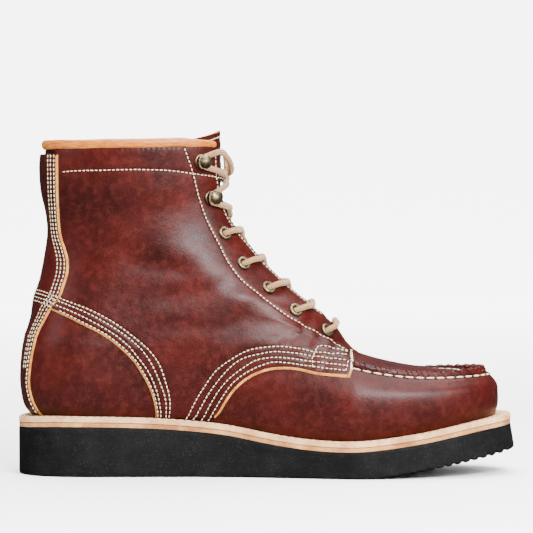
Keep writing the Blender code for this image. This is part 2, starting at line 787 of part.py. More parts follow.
def build_laces(collection):
    """One cross strand of lace for each pair of eyelets, and one for each pair of hooks."""
    over = CLEAR + OVERLAY + LACE_DIAMETER / 2 + LACE_CLEAR
    places = [on_side(*spot) for spot in EYELETS]
    for number, (around, level) in enumerate(places, 1):
        below = places[max(number - 2, 0)][1]
        drop = LACE_DROP * (level - below)
        edge = around_at(level, gap_half(level))
        eyelet_clear = EYELET_HEIGHT + 3 * CLEAR
        route = []
        for side in (-1, 1):
            half = [
                outer_point(*mirrored((around, level), side), over + eyelet_clear),
                outer_point(*mirrored((edge * 1.3, level - drop * 0.25), side), over + EYELET_HEIGHT),
                outer_point(*mirrored((edge * 0.6, level - drop * 0.6), side), over - 0.0003),
            ]
            route.append(half)
        middle = [outer_point(0.0, level - drop, 0.0022)]
        points = route[0] + middle + route[1][::-1]
        tube(f"lace_cross_{number}", strand(points), LACE_DIAMETER, "tan_cord", collection)
    for number, spot in enumerate(HOOKS, 1):
        around, level = on_side(*spot)
        edge = around_at(level, gap_half(level))
        route = []
        for side in (-1, 1):
            at_hook = mirrored((around, level), side)
            axis = hook_lean(*at_hook)
            foot = outer_point(*at_hook, CLEAR + OVERLAY)
            ahead = Vector((0.6, 0, -0.8)) * (HOOK_HEAD_RADIUS + LACE_DIAMETER)
            half = [
                foot + axis * HOOK_HEIGHT * 0.5 + ahead,
                outer_point(*mirrored((edge * 1.1, level - 0.25), side), over + 0.001),
            ]
            route.append(half)
        middle = [outer_point(0.0, level - 0.5, 0.0030)]
        points = route[0] + middle + route[1][::-1]
        name = f"lace_cross_{len(EYELETS) + number}"
        tube(name, strand(points), LACE_DIAMETER, "tan_cord", collection)


def move_to_frame(collections):
    """Shifts every piece so that the origin lies under the middle of the sole's box."""
    places = ring_places(sole_shares())
    outline = [sole_point(around, 0.0, ribbed_bottom) for around in places]
    low_y = min(point.y for point in outline)
    high_y = max(point.y for point in outline)
    shift = Vector((-SOLE_LENGTH / 2, -(low_y + high_y) / 2, 0))
    for collection in collections:
        for piece in collection.objects:
            piece.location += shift


def main():
    for piece in list(bpy.data.objects):
        bpy.data.objects.remove(piece, do_unlink=True)
    boot = bpy.data.collections.new("moc_toe_work_boot")
    cutters = bpy.data.collections.new("cutters")
    bpy.context.scene.collection.children.link(boot)
    bpy.context.scene.collection.children.link(cutters)
    build_sole(boot)
    build_insole(boot)
    build_upper(boot)
    build_overlays(boot, cutters)
    build_tongue(boot)
    build_binding(boot)
    build_eyelets(boot)
    build_hooks(boot)
    build_laces(boot)
    move_to_frame((boot, cutters))


main()
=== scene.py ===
"""Looks of a moc toe work boot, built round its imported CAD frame.

The boot's own measures are in metres from the back of the sole (x), its middle line (y) and
the floor (z). add_mesh moves every finished mesh from there into the frame.
"""

import math

import bmesh
import bpy
import numpy as np
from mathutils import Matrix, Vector
from mathutils.geometry import delaunay_2d_cdt


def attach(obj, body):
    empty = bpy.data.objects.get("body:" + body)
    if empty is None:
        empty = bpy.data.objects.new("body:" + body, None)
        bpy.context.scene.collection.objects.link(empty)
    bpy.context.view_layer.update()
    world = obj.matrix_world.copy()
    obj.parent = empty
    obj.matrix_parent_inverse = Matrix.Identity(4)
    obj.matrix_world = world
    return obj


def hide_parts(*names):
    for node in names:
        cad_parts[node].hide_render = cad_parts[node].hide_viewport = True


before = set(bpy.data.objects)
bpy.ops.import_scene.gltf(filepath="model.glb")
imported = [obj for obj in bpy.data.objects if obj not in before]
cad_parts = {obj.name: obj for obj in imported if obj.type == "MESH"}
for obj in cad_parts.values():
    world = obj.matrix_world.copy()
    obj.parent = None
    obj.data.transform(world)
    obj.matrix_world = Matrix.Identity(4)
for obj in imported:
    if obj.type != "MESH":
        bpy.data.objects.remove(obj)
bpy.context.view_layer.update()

# The last and the sole, as the frame has them
SOLE_LENGTH = 0.305
SOLE_WIDTH = 0.110
HEEL_STACK = 0.030
TOE_SPRING = 0.0155
TIP_SLANT = 0.0022
MIDSOLE_THICKNESS = 0.0024
WELT_THICKNESS = 0.0033
WELT_STRIP = 0.016
RIB_PITCH = 0.0054
RIB_DEPTH = 0.0019
RIB_COUNT = 13
RIBS_END = 0.985
BALL_WIDTH = 0.101
SHAFT_HEIGHT = 0.164
SHAFT_HALF_WIDTH = 0.040
HEEL_ROUND = 0.14
HEEL_POWER = 2.3
TOE_ROUND = 0.31
TOE_POWER = 2.4
LAST_HEEL_POWER = 2.15
ARCH_PLACE = 0.43
ARCH_REACH = 0.13
DIP_START = 0.64
CROWN_PLACE = 0.52
CROWN_REACH = 0.14
TOE_SWING = 0.006
ARCH_HOLLOW = 0.004
LEATHER = 0.0020
QUARTER_FACE = 0.0018
BACKSTAY_LEATHER = 0.0013
GAP_BELOW = 0.0065
GAP_ABOVE = 0.0125
TONGUE_HALF_WIDTH = 0.027
TONGUE_RISE = 0.0095
BINDING_RADIUS = 0.0028
LACE_RADIUS = 0.00178
EYELET_RADIUS = 0.0045
EYELET_HOLE = 0.0023
HOOK_BASE_RADIUS = 0.0046
HOOK_NECK_RADIUS = 0.0012
HOOK_HEAD_RADIUS = 0.0042
HOOK_HEIGHT = 0.0066
HOOK_WAIST = 0.0028
CLEAR = 0.0003

# Sewing: from stitch to stitch, one stitch, its thread and its needle hole
STITCH_PITCH = 0.0026
STITCH_LENGTH = 0.00185
STITCH_THICKNESS = 0.00074
HOLE_LENGTH = 0.00085
SEAM_STITCH = 0.0065
WELT_PITCH = 0.0046
FACING_SEAM_INSET = 0.0024
WELT_SEAM_INSET = 0.0029
BRAID_REPEAT = 0.0022

# Height of the sole's top, as a share of the heel's, by share of the length
SOLE_TOP = (
    (0.00, 0.95), (0.07, 1.00), (0.16, 1.00), (0.25, 0.98), (0.33, 0.935),
    (0.41, 0.855), (0.45, 0.785), (0.50, 0.685), (0.55, 0.605), (0.60, 0.553),
    (0.65, 0.533), (0.70, 0.55), (0.76, 0.62), (0.82, 0.715), (0.88, 0.835),
    (0.94, 0.945), (1.00, 1.01),
)

# Half widths of the sole at the heel, waist and ball, for the lateral and the medial side
SOLE_PLACES = (0.14, 0.42, 0.68)
SOLE_HALVES = ((0.350, 0.352, 0.500), (0.350, 0.335, 0.500))

# The last's sections from the welt up. Each has the back's place and rise, the front's place
# and rise, half widths at the heel, waist and ball, lengths of the rounded heel and nose, the
# nose's power, how far it follows the sole's top, its dip and its crown.
LAST_PLACES = (0.148, 0.387, 0.672)
SECTIONS = np.array((
    (0.031, 0.000, 0.962, 0.000, 0.322, 0.307, 0.460, 0.130, 0.289, 2.35, 1.00, 0.000, 0.000),
    (0.014, 0.045, 0.967, 0.042, 0.343, 0.330, 0.489, 0.132, 0.289, 2.35, 1.00, 0.000, 0.000),
    (0.007, 0.119, 0.967, 0.080, 0.356, 0.342, 0.500, 0.134, 0.289, 2.35, 0.85, 0.000, 0.000),
    (0.007, 0.174, 0.965, 0.110, 0.356, 0.347, 0.490, 0.135, 0.285, 2.35, 0.55, 0.002, 0.000),
    (0.010, 0.242, 0.955, 0.135, 0.353, 0.347, 0.457, 0.137, 0.277, 2.30, 0.32, 0.012, 0.000),
    (0.014, 0.285, 0.944, 0.153, 0.350, 0.347, 0.420, 0.138, 0.269, 2.30, 0.12, 0.021, 0.004),
    (0.016, 0.303, 0.935, 0.162, 0.346, 0.346, 0.394, 0.139, 0.262, 2.30, 0.04, 0.025, 0.014),
    (0.020, 0.321, 0.926, 0.156, 0.342, 0.345, 0.368, 0.140, 0.256, 2.30, 0.00, 0.026, 0.036),
    (0.027, 0.364, 0.859, 0.152, 0.334, 0.342, 0.318, 0.142, 0.215, 2.10, 0.00, 0.010, 0.062),
    (0.033, 0.407, 0.774, 0.174, 0.327, 0.337, 0.280, 0.145, 0.195, 2.00, 0.00, 0.000, 0.082),
    (0.039, 0.444, 0.678, 0.226, 0.318, 0.332, 0.270, 0.148, 0.203, 2.00, 0.00, 0.000, 0.092),
    (0.051, 0.506, 0.578, 0.430, 0.299, 0.318, 0.297, 0.150, 0.185, 2.00, 0.00, 0.000, 0.025),
    (0.061, 0.598, 0.499, 0.567, 0.283, 0.306, 0.306, 0.153, 0.180, 2.00, 0.00, 0.000, 0.000),
    (0.067, 0.683, 0.442, 0.695, 0.287, 0.305, 0.305, 0.157, 0.190, 2.00, 0.00, 0.000, 0.000),
    (0.064, 0.757, 0.418, 0.797, 0.297, 0.314, 0.314, 0.160, 0.197, 2.05, 0.00, 0.000, 0.000),
    (0.054, 0.843, 0.411, 0.879, 0.307, 0.324, 0.324, 0.162, 0.197, 2.10, 0.00, 0.000, 0.000),
    (0.051, 0.929, 0.410, 0.948, 0.313, 0.330, 0.330, 0.163, 0.197, 2.10, 0.00, 0.000, 0.000),
    (0.054, 0.998, 0.409, 1.006, 0.317, 0.334, 0.334, 0.164, 0.197, 2.10, 0.00, 0.000, 0.000),
))

# Sections that carry the moc seam, the foot of the throat and the collar
SEAM_LEVEL = 6
THROAT_LEVEL = 10
COLLAR_LEVEL = 17

# Cut edges, eyelets and hooks seen from the side: shares of the length and the shaft's height
BACKSTAY_EDGE = (
    (0.087, 0.98), (0.087, 0.93), (0.088, 0.80), (0.092, 0.69), (0.101, 0.630),
    (0.107, 0.585), (0.106, 0.535), (0.098, 0.485), (0.090, 0.446), (0.070, 0.400),
    (0.055, 0.355), (0.043, 0.310), (0.034, 0.244), (0.028, 0.172), (0.027, 0.118),
    (0.034, 0.065), (0.046, 0.022), (0.056, 0.004),
)
QUARTER_EDGE = (
    (0.397, 0.004), (0.409, 0.030), (0.420, 0.065), (0.436, 0.107),
    (0.457, 0.143), (0.480, 0.168), (0.507, 0.184), (0.535, 0.188), (0.562, 0.184),
    (0.600, 0.169), (0.664, 0.158),
)
FLAP_FRONT = 0.671
FLAP_TOP = 0.648
UNDER_BACKSTAY = 0.010
EYELETS = (
    (0.617, 0.320), (0.555, 0.397), (0.501, 0.479), (0.451, 0.570), (0.413, 0.682),
)
HOOKS = ((0.3836, 0.815), (0.365, 0.953))

# How far the instep's line lies above the plain last, by level
INSTEP_FIT = (
    (9.50, 0.0), (9.8, 0.0006), (10.0, 0.0015), (10.2, 0.0027), (10.35, 0.0028), (10.5, 0.0021),
    (10.75, -0.0004), (11.0, -0.0027), (11.25, -0.0032), (11.5, -0.0028), (11.75, -0.0021),
    (12.0, -0.0015), (12.25, -0.0009), (12.5, 0.0),
)
# Level at which the lace from each eyelet crosses its facing's edge
BROWS = (10.44, 10.90, 11.45, 12.13, 12.88)


def weights(knots, at):
    """Share that each knot has in the smooth value at each place."""
    knots = np.asarray(knots, float)
    at = np.atleast_1d(np.asarray(at, float))
    last = len(knots) - 1
    order = np.arange(last + 1)
    eye = np.eye(last + 1)
    low = np.maximum(order - 1, 0)
    high = np.minimum(order + 1, last)
    slopes = (eye[high] - eye[low]) / (knots[high] - knots[low])[:, None]
    index = np.clip(np.searchsorted(knots, at, side="right") - 1, 0, last - 1)
    span = (knots[index + 1] - knots[index])[:, None]
    part = np.clip((at[:, None] - knots[index][:, None]) / span, 0, 1)
    found = (1 + 2 * part) * (1 - part) ** 2 * eye[index]
    found += span * part * (1 - part) ** 2 * slopes[index]
    found += part ** 2 * (3 - 2 * part) * eye[index + 1]
    found -= span * part ** 2 * (1 - part) * slopes[index + 1]
    found += np.minimum(at - knots[0], 0)[:, None] * slopes[0]
    found += np.maximum(at - knots[-1], 0)[:, None] * slopes[-1]
    return found


def ease(part):
    """A smooth step from 0 to 1."""
    part = np.clip(part, 0, 1)
    return part * part * (3 - 2 * part)


def rounded(part, power):
    """Share of the full width at a share of the nose's length, on a superellipse."""
    part = np.clip(part, 0, 1)
    return np.clip(1 - (1 - part) ** power, 0, 1) ** (1 / power)


def swing(x):
    """How far the middle line has swung to the medial side."""
    return TOE_SWING * np.maximum((x / SOLE_LENGTH - 0.45) / 0.55, 0) ** 2


def sole_top(x):
    places, heights = zip(*SOLE_TOP)
    shape = np.shape(x)
    flat = weights(places, np.ravel(x) / SOLE_LENGTH) @ np.array(heights)
    return HEEL_STACK * flat.reshape(shape)


def sole_bottom(x):
    return TOE_SPRING * np.maximum((x / SOLE_LENGTH - 0.70) / 0.30, 0) ** 1.2


def ribbed_bottom(x):
    """Underside of the outsole with the rounded cross ribs under the toe."""
    end = RIBS_END * SOLE_LENGTH
    start = end - RIB_COUNT * RIB_PITCH
    inside = (x > start) & (x < end)
    wave = (0.5 - 0.5 * np.cos(math.tau * (x - start) / RIB_PITCH)) ** 2.6
    deep = 0.35 + 0.55 * np.clip((x - start) / (end - start), 0, 1)
    return sole_bottom(x) + RIB_DEPTH * deep * wave * inside


def midsole_bottom(x):
    return sole_top(x) + CLEAR


def welt_bottom(x):
    return sole_top(x) + MIDSOLE_THICKNESS + 2 * CLEAR


def welt_top(x):
    return welt_bottom(x) + WELT_THICKNESS


def sole_point(around, inset, height, slant=0.0):
    """Points of the sole's outline, at places around it and a distance in from its edge."""
    around = np.asarray(around, float) % 1.0
    share = (1 + np.cos(math.tau * around)) / 2
    side = np.where(around < 0.5, -1.0, 1.0)
    place = weights(SOLE_PLACES, np.clip(share, SOLE_PLACES[0], SOLE_PLACES[-1]))
    lateral, medial = (place @ np.array(halves) for halves in SOLE_HALVES)
    half = SOLE_WIDTH * np.where(side < 0, lateral, medial) - inset
    half = half * rounded((1 - share) / TOE_ROUND, TOE_POWER)
    half = half * rounded(share / HEEL_ROUND, HEEL_POWER)
    x = inset + share * (SOLE_LENGTH - 2 * inset - slant)
    return np.stack((x, swing(x) + side * half, height(x) + 0 * x), axis=-1)


def last_point(around, level):
    """Points of the last's surface, by places around the foot and levels up the boot."""
    around, level = np.broadcast_arrays(np.asarray(around, float), np.asarray(level, float))
    shape = around.shape
    around = around.ravel() % 1.0
    row = weights(range(len(SECTIONS)), level.ravel()) @ SECTIONS
    (back, back_rise, front, front_rise, heel, waist, ball,
     heel_nose, nose, power, follow, dip, crown) = row.T
    side = np.where(around < 0.5, -1.0, 1.0)
    share = (1 + np.cos(math.tau * around)) / 2
    place = back + (front - back) * share
    x = SOLE_LENGTH * place
    station = weights(LAST_PLACES, np.clip(place, LAST_PLACES[0], LAST_PLACES[-1]))
    half = BALL_WIDTH * np.sum(station * np.stack((heel, waist, ball), axis=-1), axis=-1)
    half -= (side > 0) * ARCH_HOLLOW * follow * np.exp(-((place - ARCH_PLACE) / ARCH_REACH) ** 2)
    front_round = rounded((front - place) / nose, power)
    half = half * front_round * rounded((place - back) / heel_nose, LAST_HEEL_POWER)
    start = welt_top(0.0)
    straight = start + (welt_top(SOLE_LENGTH) - start) * place
    welt = straight + follow * (welt_top(x) - straight)
    rise = back_rise + (front_rise - back_rise) * share
    dipped = (place - DIP_START) / np.maximum(front - DIP_START, 0.003)
    rise -= dip * np.sin(math.pi * np.clip(dipped, 0, 1))
    rise += crown * np.exp(-((place - CROWN_PLACE) / CROWN_REACH) ** 2) * front_round
    height = welt + CLEAR + SHAFT_HEIGHT * rise
    fit_levels, fits = zip(*INSTEP_FIT)
    fit = weights(fit_levels, np.clip(level.ravel(), fit_levels[0], fit_levels[-1])) @ fits
    height = height + fit * ease((share - 0.55) / 0.4)
    return np.stack((x, swing(x) + side * half, height), axis=-1).reshape(shape + (3,))


def unit(vectors):
    return vectors / np.maximum(np.linalg.norm(vectors, axis=-1, keepdims=True), 1e-12)


def last_normal(around, level):
    """Directions straight out of the last."""
    around, level = np.broadcast_arrays(np.asarray(around, float), np.asarray(level, float))
    step = 0.004
    low = np.maximum(level - 0.05, 0)
    along = last_point(around + step, level) - last_point(around - step, level)
    up = last_point(around, low + 0.1) - last_point(around, low)
    normal = np.cross(up, along)
    normal[..., 2] = np.where(level <= 0, 0.0, normal[..., 2])
    return unit(normal)


def gap_half(level):
    """Half the gap between the two facings."""
    share = ease((level - THROAT_LEVEL) / (COLLAR_LEVEL - THROAT_LEVEL))
    return GAP_BELOW + (GAP_ABOVE - GAP_BELOW) * share


def around_at(level, distance):
    """Places around the front of sections that lie a distance from their middle line."""
    level, distance = np.broadcast_arrays(np.asarray(level, float), np.asarray(distance, float))
    low = np.zeros(level.shape)
    high = np.full(level.shape, 0.25)
    for _ in range(30):
        middle = (low + high) / 2
        point = last_point(middle, level)
        inside = swing(point[..., 0]) - point[..., 1] < distance
        low = np.where(inside, middle, low)
        high = np.where(inside, high, middle)
    return (low + high) / 2


def facing_edge(level):
    return around_at(level, gap_half(level))


GRID_AROUND, GRID_LEVEL = (
    grid.ravel() for grid in np.meshgrid(np.linspace(0.03, 0.485, 110), np.linspace(0, 17.2, 140))
)
GRID_POINTS = last_point(GRID_AROUND, GRID_LEVEL)


def on_side(spots):
    """Places around and levels of spots that are seen from the lateral side."""
    spots = np.atleast_2d(np.asarray(spots, float))
    x = spots[:, 0] * SOLE_LENGTH
    z = welt_top(0.0) + spots[:, 1] * SHAFT_HEIGHT
    far = (GRID_POINTS[None, :, 0] - x[:, None]) ** 2 + (GRID_POINTS[None, :, 2] - z[:, None]) ** 2
    first = np.argmin(far, axis=1)
    around = GRID_AROUND[first].copy()
    level = GRID_LEVEL[first].copy()
    step = 0.0005
    for _ in range(6):
        here = last_point(around, level)
        turn = (last_point(around + step, level) - here) / step
        climb = (last_point(around, level + step) - here) / step
        dx = here[:, 0] - x
        dz = here[:, 2] - z
        size = turn[:, 0] * climb[:, 2] - climb[:, 0] * turn[:, 2]
        size = np.where(np.abs(size) < 1e-7, 1e-7, size)
        around = around - (dx * climb[:, 2] - dz * climb[:, 0]) / size
        level = level - (dz * turn[:, 0] - dx * turn[:, 2]) / size
        around = np.clip(around, GRID_AROUND[first] - 0.03, GRID_AROUND[first] + 0.03)
        around = np.clip(around, 0.001, 0.499)
        level = np.clip(np.clip(level, GRID_LEVEL[first] - 0.5, GRID_LEVEL[first] + 0.5), 0, 17.2)
    return np.stack((around, level), axis=-1)


# The photo's view: metres in a pixel at the middle line, the camera's place and aim, the width
# that it sees there, and the pixels that lie level with it and at its middle
PIXEL = 0.000615
CAMERA_BACK = 2.2
CAMERA_SIDE = -0.0003
CAMERA_HEIGHT = 0.207
AIM_HEIGHT = 0.1264
HALF_VIEW = 0.1639
EYE_ROW = 135.4
MIDDLE_COLUMN = 266.5


def on_top(places):
    """Places around and levels of spots over the top of the foot, seen from above."""
    places = np.asarray(places, float)
    upper = GRID_LEVEL > SEAM_LEVEL - 0.5
    grid_around, grid_level, grid = GRID_AROUND[upper], GRID_LEVEL[upper], GRID_POINTS[upper]
    far = np.sum((grid[None, :, :2] - places[:, None, :]) ** 2, axis=-1)
    first = np.argmin(far, axis=1)
    around = grid_around[first].copy()
    level = grid_level[first].copy()
    step = 0.0005
    for _ in range(8):
        here = last_point(around, level)
        turn = (last_point(around + step, level) - here) / step
        climb = (last_point(around, level + step) - here) / step
        dx = here[:, 0] - places[:, 0]
        dy = here[:, 1] - places[:, 1]
        size = turn[:, 0] * climb[:, 1] - climb[:, 0] * turn[:, 1]
        size = np.where(np.abs(size) < 1e-8, 1e-8, size)
        around = np.clip(around - (dx * climb[:, 1] - dy * climb[:, 0]) / size, 0.001, 0.499)
        level = np.clip(level - (dy * turn[:, 0] - dx * turn[:, 1]) / size, 5, 12)
    return np.stack((around, level), axis=-1)


# Soft creases: middle seen from the side, half length, tilt from level in degrees,
# half width and depth, in metres and for each side of the boot
CREASES = (
    (0.193, 0.077, 0.016, 62, 0.0022, 0.00055),
    (0.184, 0.083, 0.017, 58, 0.0024, 0.00060),
    (0.175, 0.090, 0.017, 54, 0.0026, 0.00050),
    (0.166, 0.066, 0.020, 20, 0.0034, 0.00055),
    (0.150, 0.077, 0.024, 24, 0.0042, 0.00060),
    (0.140, 0.098, 0.022, 36, 0.0050, 0.00060),
    (0.110, 0.112, 0.026, 12, 0.0052, 0.00070),
    (0.090, 0.126, 0.024, -8, 0.0056, 0.00070),
    (0.098, 0.090, 0.020, 5, 0.0048, 0.00045),
    (0.060, 0.140, 0.018, -14, 0.0050, 0.00045),
    (0.080, 0.160, 0.022, 8, 0.0060, 0.00050),
)


def crease(points):
    """How far the soft creases lower the leather at points of the last."""
    lowered = np.zeros(points.shape[:-1])
    for x, z, reach, tilt, width, depth in CREASES:
        angle = math.radians(tilt)
        across = points[..., 0] - x
        above = points[..., 2] - z
        along = across * math.cos(angle) + above * math.sin(angle)
        off = above * math.cos(angle) - across * math.sin(angle)
        shape = np.exp(-(off / width) ** 2) - 0.45 * np.exp(-((off - 2 * width) / width) ** 2)
        lowered += depth * shape * np.exp(-(along / reach) ** 4)
    return lowered


def leather_point(around, level, distance):
    """Points a distance above the last, on leather that has its soft creases."""
    point = last_point(around, level)
    lift = np.asarray(distance) - crease(point)
    return point + last_normal(around, level) * lift[..., None]


OUTLINE = sole_point(np.linspace(0, 1, 400), 0.0, sole_bottom)
SHIFT = np.array((-SOLE_LENGTH / 2, -(OUTLINE[:, 1].min() + OUTLINE[:, 1].max()) / 2, 0.0))


def linear(colour):
    """An sRGB hex colour as linear red, green, blue and alpha."""
    parts = [int(colour[at:at + 2], 16) / 255 for at in (0, 2, 4)]
    return [p / 12.92 if p <= 0.04045 else ((p + 0.055) / 1.055) ** 2.4 for p in parts] + [1.0]


def set_inputs(tree, node, inputs):
    """Sets a node's inputs. Each is a value, an sRGB hex colour, a node's output, or a node
    that gives its first output."""
    for name, value in inputs.items():
        if isinstance(value, bpy.types.Node):
            value = value.outputs[0]
        if isinstance(value, bpy.types.NodeSocket):
            tree.links.new(value, node.inputs[name])
        else:
            node.inputs[name].default_value = linear(value) if isinstance(value, str) else value


def add_node(tree, kind, inputs=None, **settings):
    """Adds a node with its settings and its links."""
    made = tree.nodes.new(kind)
    for name, value in settings.items():
        setattr(made, name, value)
    set_inputs(tree, made, inputs or {})
    return made


def new_finish(name):
    """A material, its node tree, its shader and the piece's own coordinates."""
    material = bpy.data.materials.new(name)
    material.use_nodes = True
    tree = material.node_tree
    place = add_node(tree, "ShaderNodeTexCoord").outputs["Object"]
    return material, tree, tree.nodes["Principled BSDF"], place


# Kinds of node that the finishes share, and the colour result of a Mix node
NOISE = "ShaderNodeTexNoise"
RANGE = "ShaderNodeMapRange"
MIX = "ShaderNodeMix"
MATH = "ShaderNodeMath"
BUMP = "ShaderNodeBump"
STRETCH = "ShaderNodeMapping"
COLOUR = 2


def oxblood_leather():
    """Full grain cow leather, drum dyed and oiled: a deep red brown that mottles where the oil
    has moved, a fine pebbled grain, a soft waxy gloss and paler rubbed places."""
    material, tree, shader, place = new_finish("oxblood_oiled_leather")
    clouds = add_node(tree, NOISE, {
        "Vector": place, "Scale": 1 / 0.030, "Detail": 2.0, "Roughness": 0.55})
    mottle = add_node(tree, NOISE, {
        "Vector": place, "Scale": 1 / 0.0045, "Detail": 4.0, "Roughness": 0.62})
    pores = add_node(tree, NOISE, {
        "Vector": place, "Scale": 1 / 0.0011, "Detail": 3.0, "Roughness": 0.6})
    soft = add_node(tree, NOISE, {
        "Vector": place, "Scale": 1 / 0.009, "Detail": 2.0, "Roughness": 0.55})
    cells = add_node(tree, "ShaderNodeTexVoronoi", {"Vector": place, "Scale": 1 / 0.0013},
                     feature="DISTANCE_TO_EDGE")
    cloudy = add_node(tree, RANGE, {"Value": clouds, "From Min": 0.28, "From Max": 0.76})
    deep = add_node(tree, MIX, {0: cloudy, 6: "230504", 7: "3a0b07"}, data_type="RGBA")
    worn = add_node(tree, RANGE, {
        "Value": mottle, "From Min": 0.46, "From Max": 0.84, "To Max": 0.42})
    rubbed = add_node(tree, MIX, {0: worn, 6: deep.outputs[COLOUR], 7: "5a1c11"},
                      data_type="RGBA")
    open_pores = add_node(tree, RANGE, {
        "Value": pores, "From Min": 0.62, "From Max": 0.40, "To Max": 0.25})
    tone = add_node(tree, MIX, {0: open_pores, 6: rubbed.outputs[COLOUR], 7: "180302"},
                    data_type="RGBA")
    waxed = add_node(tree, RANGE, {
        "Value": mottle, "From Min": 0.3, "From Max": 0.75, "To Min": 0.34, "To Max": 0.46})
    dull = add_node(tree, RANGE, {
        "Value": pores, "From Min": 0.3, "From Max": 0.7, "To Min": -0.05, "To Max": 0.06})
    gloss = add_node(tree, MATH, {0: waxed, 1: dull}, operation="ADD")
    pebbles = add_node(tree, RANGE, {"Value": cells, "From Min": 0.0, "From Max": 0.25})
    waves = add_node(tree, BUMP, {"Height": soft, "Distance": 0.0009, "Strength": 0.40})
    grain = add_node(tree, BUMP, {
        "Height": pebbles, "Distance": 0.00008, "Strength": 0.45, "Normal": waves})
    pitted = add_node(tree, BUMP, {
        "Height": pores, "Distance": 0.00012, "Strength": 0.55, "Normal": grain})
    set_inputs(tree, shader, {
        "Base Color": tone.outputs[COLOUR], "Roughness": gloss, "Normal": pitted,
        "Coat Weight": 0.05, "Coat Roughness": 0.28, "Specular IOR Level": 0.13})
    return material


def cut_leather():
    """The raw cut edge of vegetable tanned leather: pale tan fibres with darker specks."""
    material, tree, shader, place = new_finish("raw_leather_edge")
    fibres = add_node(tree, NOISE, {
        "Vector": place, "Scale": 1 / 0.0006, "Detail": 4.0, "Roughness": 0.7})
    bands = add_node(tree, NOISE, {
        "Vector": place, "Scale": 1 / 0.006, "Detail": 2.0, "Roughness": 0.55})
    banded = add_node(tree, RANGE, {"Value": bands, "From Min": 0.35, "From Max": 0.7})
    tan = add_node(tree, MIX, {0: banded, 6: "99601f", 7: "c68f48"}, data_type="RGBA")
    specks = add_node(tree, RANGE, {"Value": fibres, "From Min": 0.45, "From Max": 0.72})
    tone = add_node(tree, MIX, {0: specks, 6: tan.outputs[COLOUR], 7: "7a4a26"},
                    data_type="RGBA")
    nap = add_node(tree, BUMP, {"Height": fibres, "Distance": 0.00015, "Strength": 0.6})
    set_inputs(tree, shader, {
        "Base Color": tone.outputs[COLOUR], "Roughness": 0.78, "Normal": nap,
        "Specular IOR Level": 0.2})
    return material


def pale_edge():
    """The flap's front edge, where thread and skived leather are packed together, near white."""
    material, tree, shader, place = new_finish("pale_skived_edge")
    fibres = add_node(tree, NOISE, {
        "Vector": place, "Scale": 1 / 0.0008, "Detail": 4.0, "Roughness": 0.7})
    packed = add_node(tree, RANGE, {"Value": fibres, "From Min": 0.42, "From Max": 0.7})
    tone = add_node(tree, MIX, {0: packed, 6: "ece0d0", 7: "b98a6e"}, data_type="RGBA")
    nap = add_node(tree, BUMP, {"Height": fibres, "Distance": 0.0002, "Strength": 0.6})
    set_inputs(tree, shader, {
        "Base Color": tone.outputs[COLOUR], "Roughness": 0.75, "Normal": nap})
    return material


def rolled_leather():
    """Natural veg tanned leather rolled over the collar: golden, smooth, with stretch streaks."""
    material, tree, shader, place = new_finish("rolled_tan_leather")
    drawn = add_node(tree, STRETCH, {"Vector": place, "Scale": (1, 1, 7)})
    streaks = add_node(tree, NOISE, {
        "Vector": drawn, "Scale": 1 / 0.005, "Detail": 3.0, "Roughness": 0.55})
    flecks = add_node(tree, NOISE, {
        "Vector": place, "Scale": 1 / 0.0013, "Detail": 4.0, "Roughness": 0.65})
    streaky = add_node(tree, RANGE, {"Value": streaks, "From Min": 0.35, "From Max": 0.68})
    golden = add_node(tree, MIX, {0: streaky, 6: "873e04", 7: "b66d14"}, data_type="RGBA")
    flecked = add_node(tree, RANGE, {
        "Value": flecks, "From Min": 0.52, "From Max": 0.75, "To Max": 0.5})
    tone = add_node(tree, MIX, {0: flecked, 6: golden.outputs[COLOUR], 7: "6b3a10"},
                    data_type="RGBA")
    gloss = add_node(tree, RANGE, {
        "Value": streaks, "From Min": 0.3, "From Max": 0.7, "To Min": 0.38, "To Max": 0.5})
    creased = add_node(tree, BUMP, {"Height": streaks, "Distance": 0.0004, "Strength": 0.3})
    grain = add_node(tree, BUMP, {
        "Height": flecks, "Distance": 0.0001, "Strength": 0.5, "Normal": creased})
    set_inputs(tree, shader, {
        "Base Color": tone.outputs[COLOUR], "Roughness": gloss, "Normal": grain,
        "Coat Weight": 0.08, "Coat Roughness": 0.35, "Specular IOR Level": 0.3})
    return material


def waxed_thread():
    """Bonded polyester sewing thread, ivory, twisted from three plies."""
    material, tree, shader, place = new_finish("ivory_waxed_thread")
    twist = add_node(tree, NOISE, {
        "Vector": place, "Scale": 1 / 0.0006, "Detail": 2.0, "Roughness": 0.55})
    plies = add_node(tree, RANGE, {"Value": twist, "From Min": 0.35, "From Max": 0.7})
    tone = add_node(tree, MIX, {0: plies, 6: "ab9470", 7: "dccbab"}, data_type="RGBA")
    ridges = add_node(tree, BUMP, {"Height": twist, "Distance": 0.0002, "Strength": 0.7})
    set_inputs(tree, shader, {
        "Base Color": tone.outputs[COLOUR], "Roughness": 0.6, "Normal": ridges,
        "Sheen Weight": 0.25})
    return material


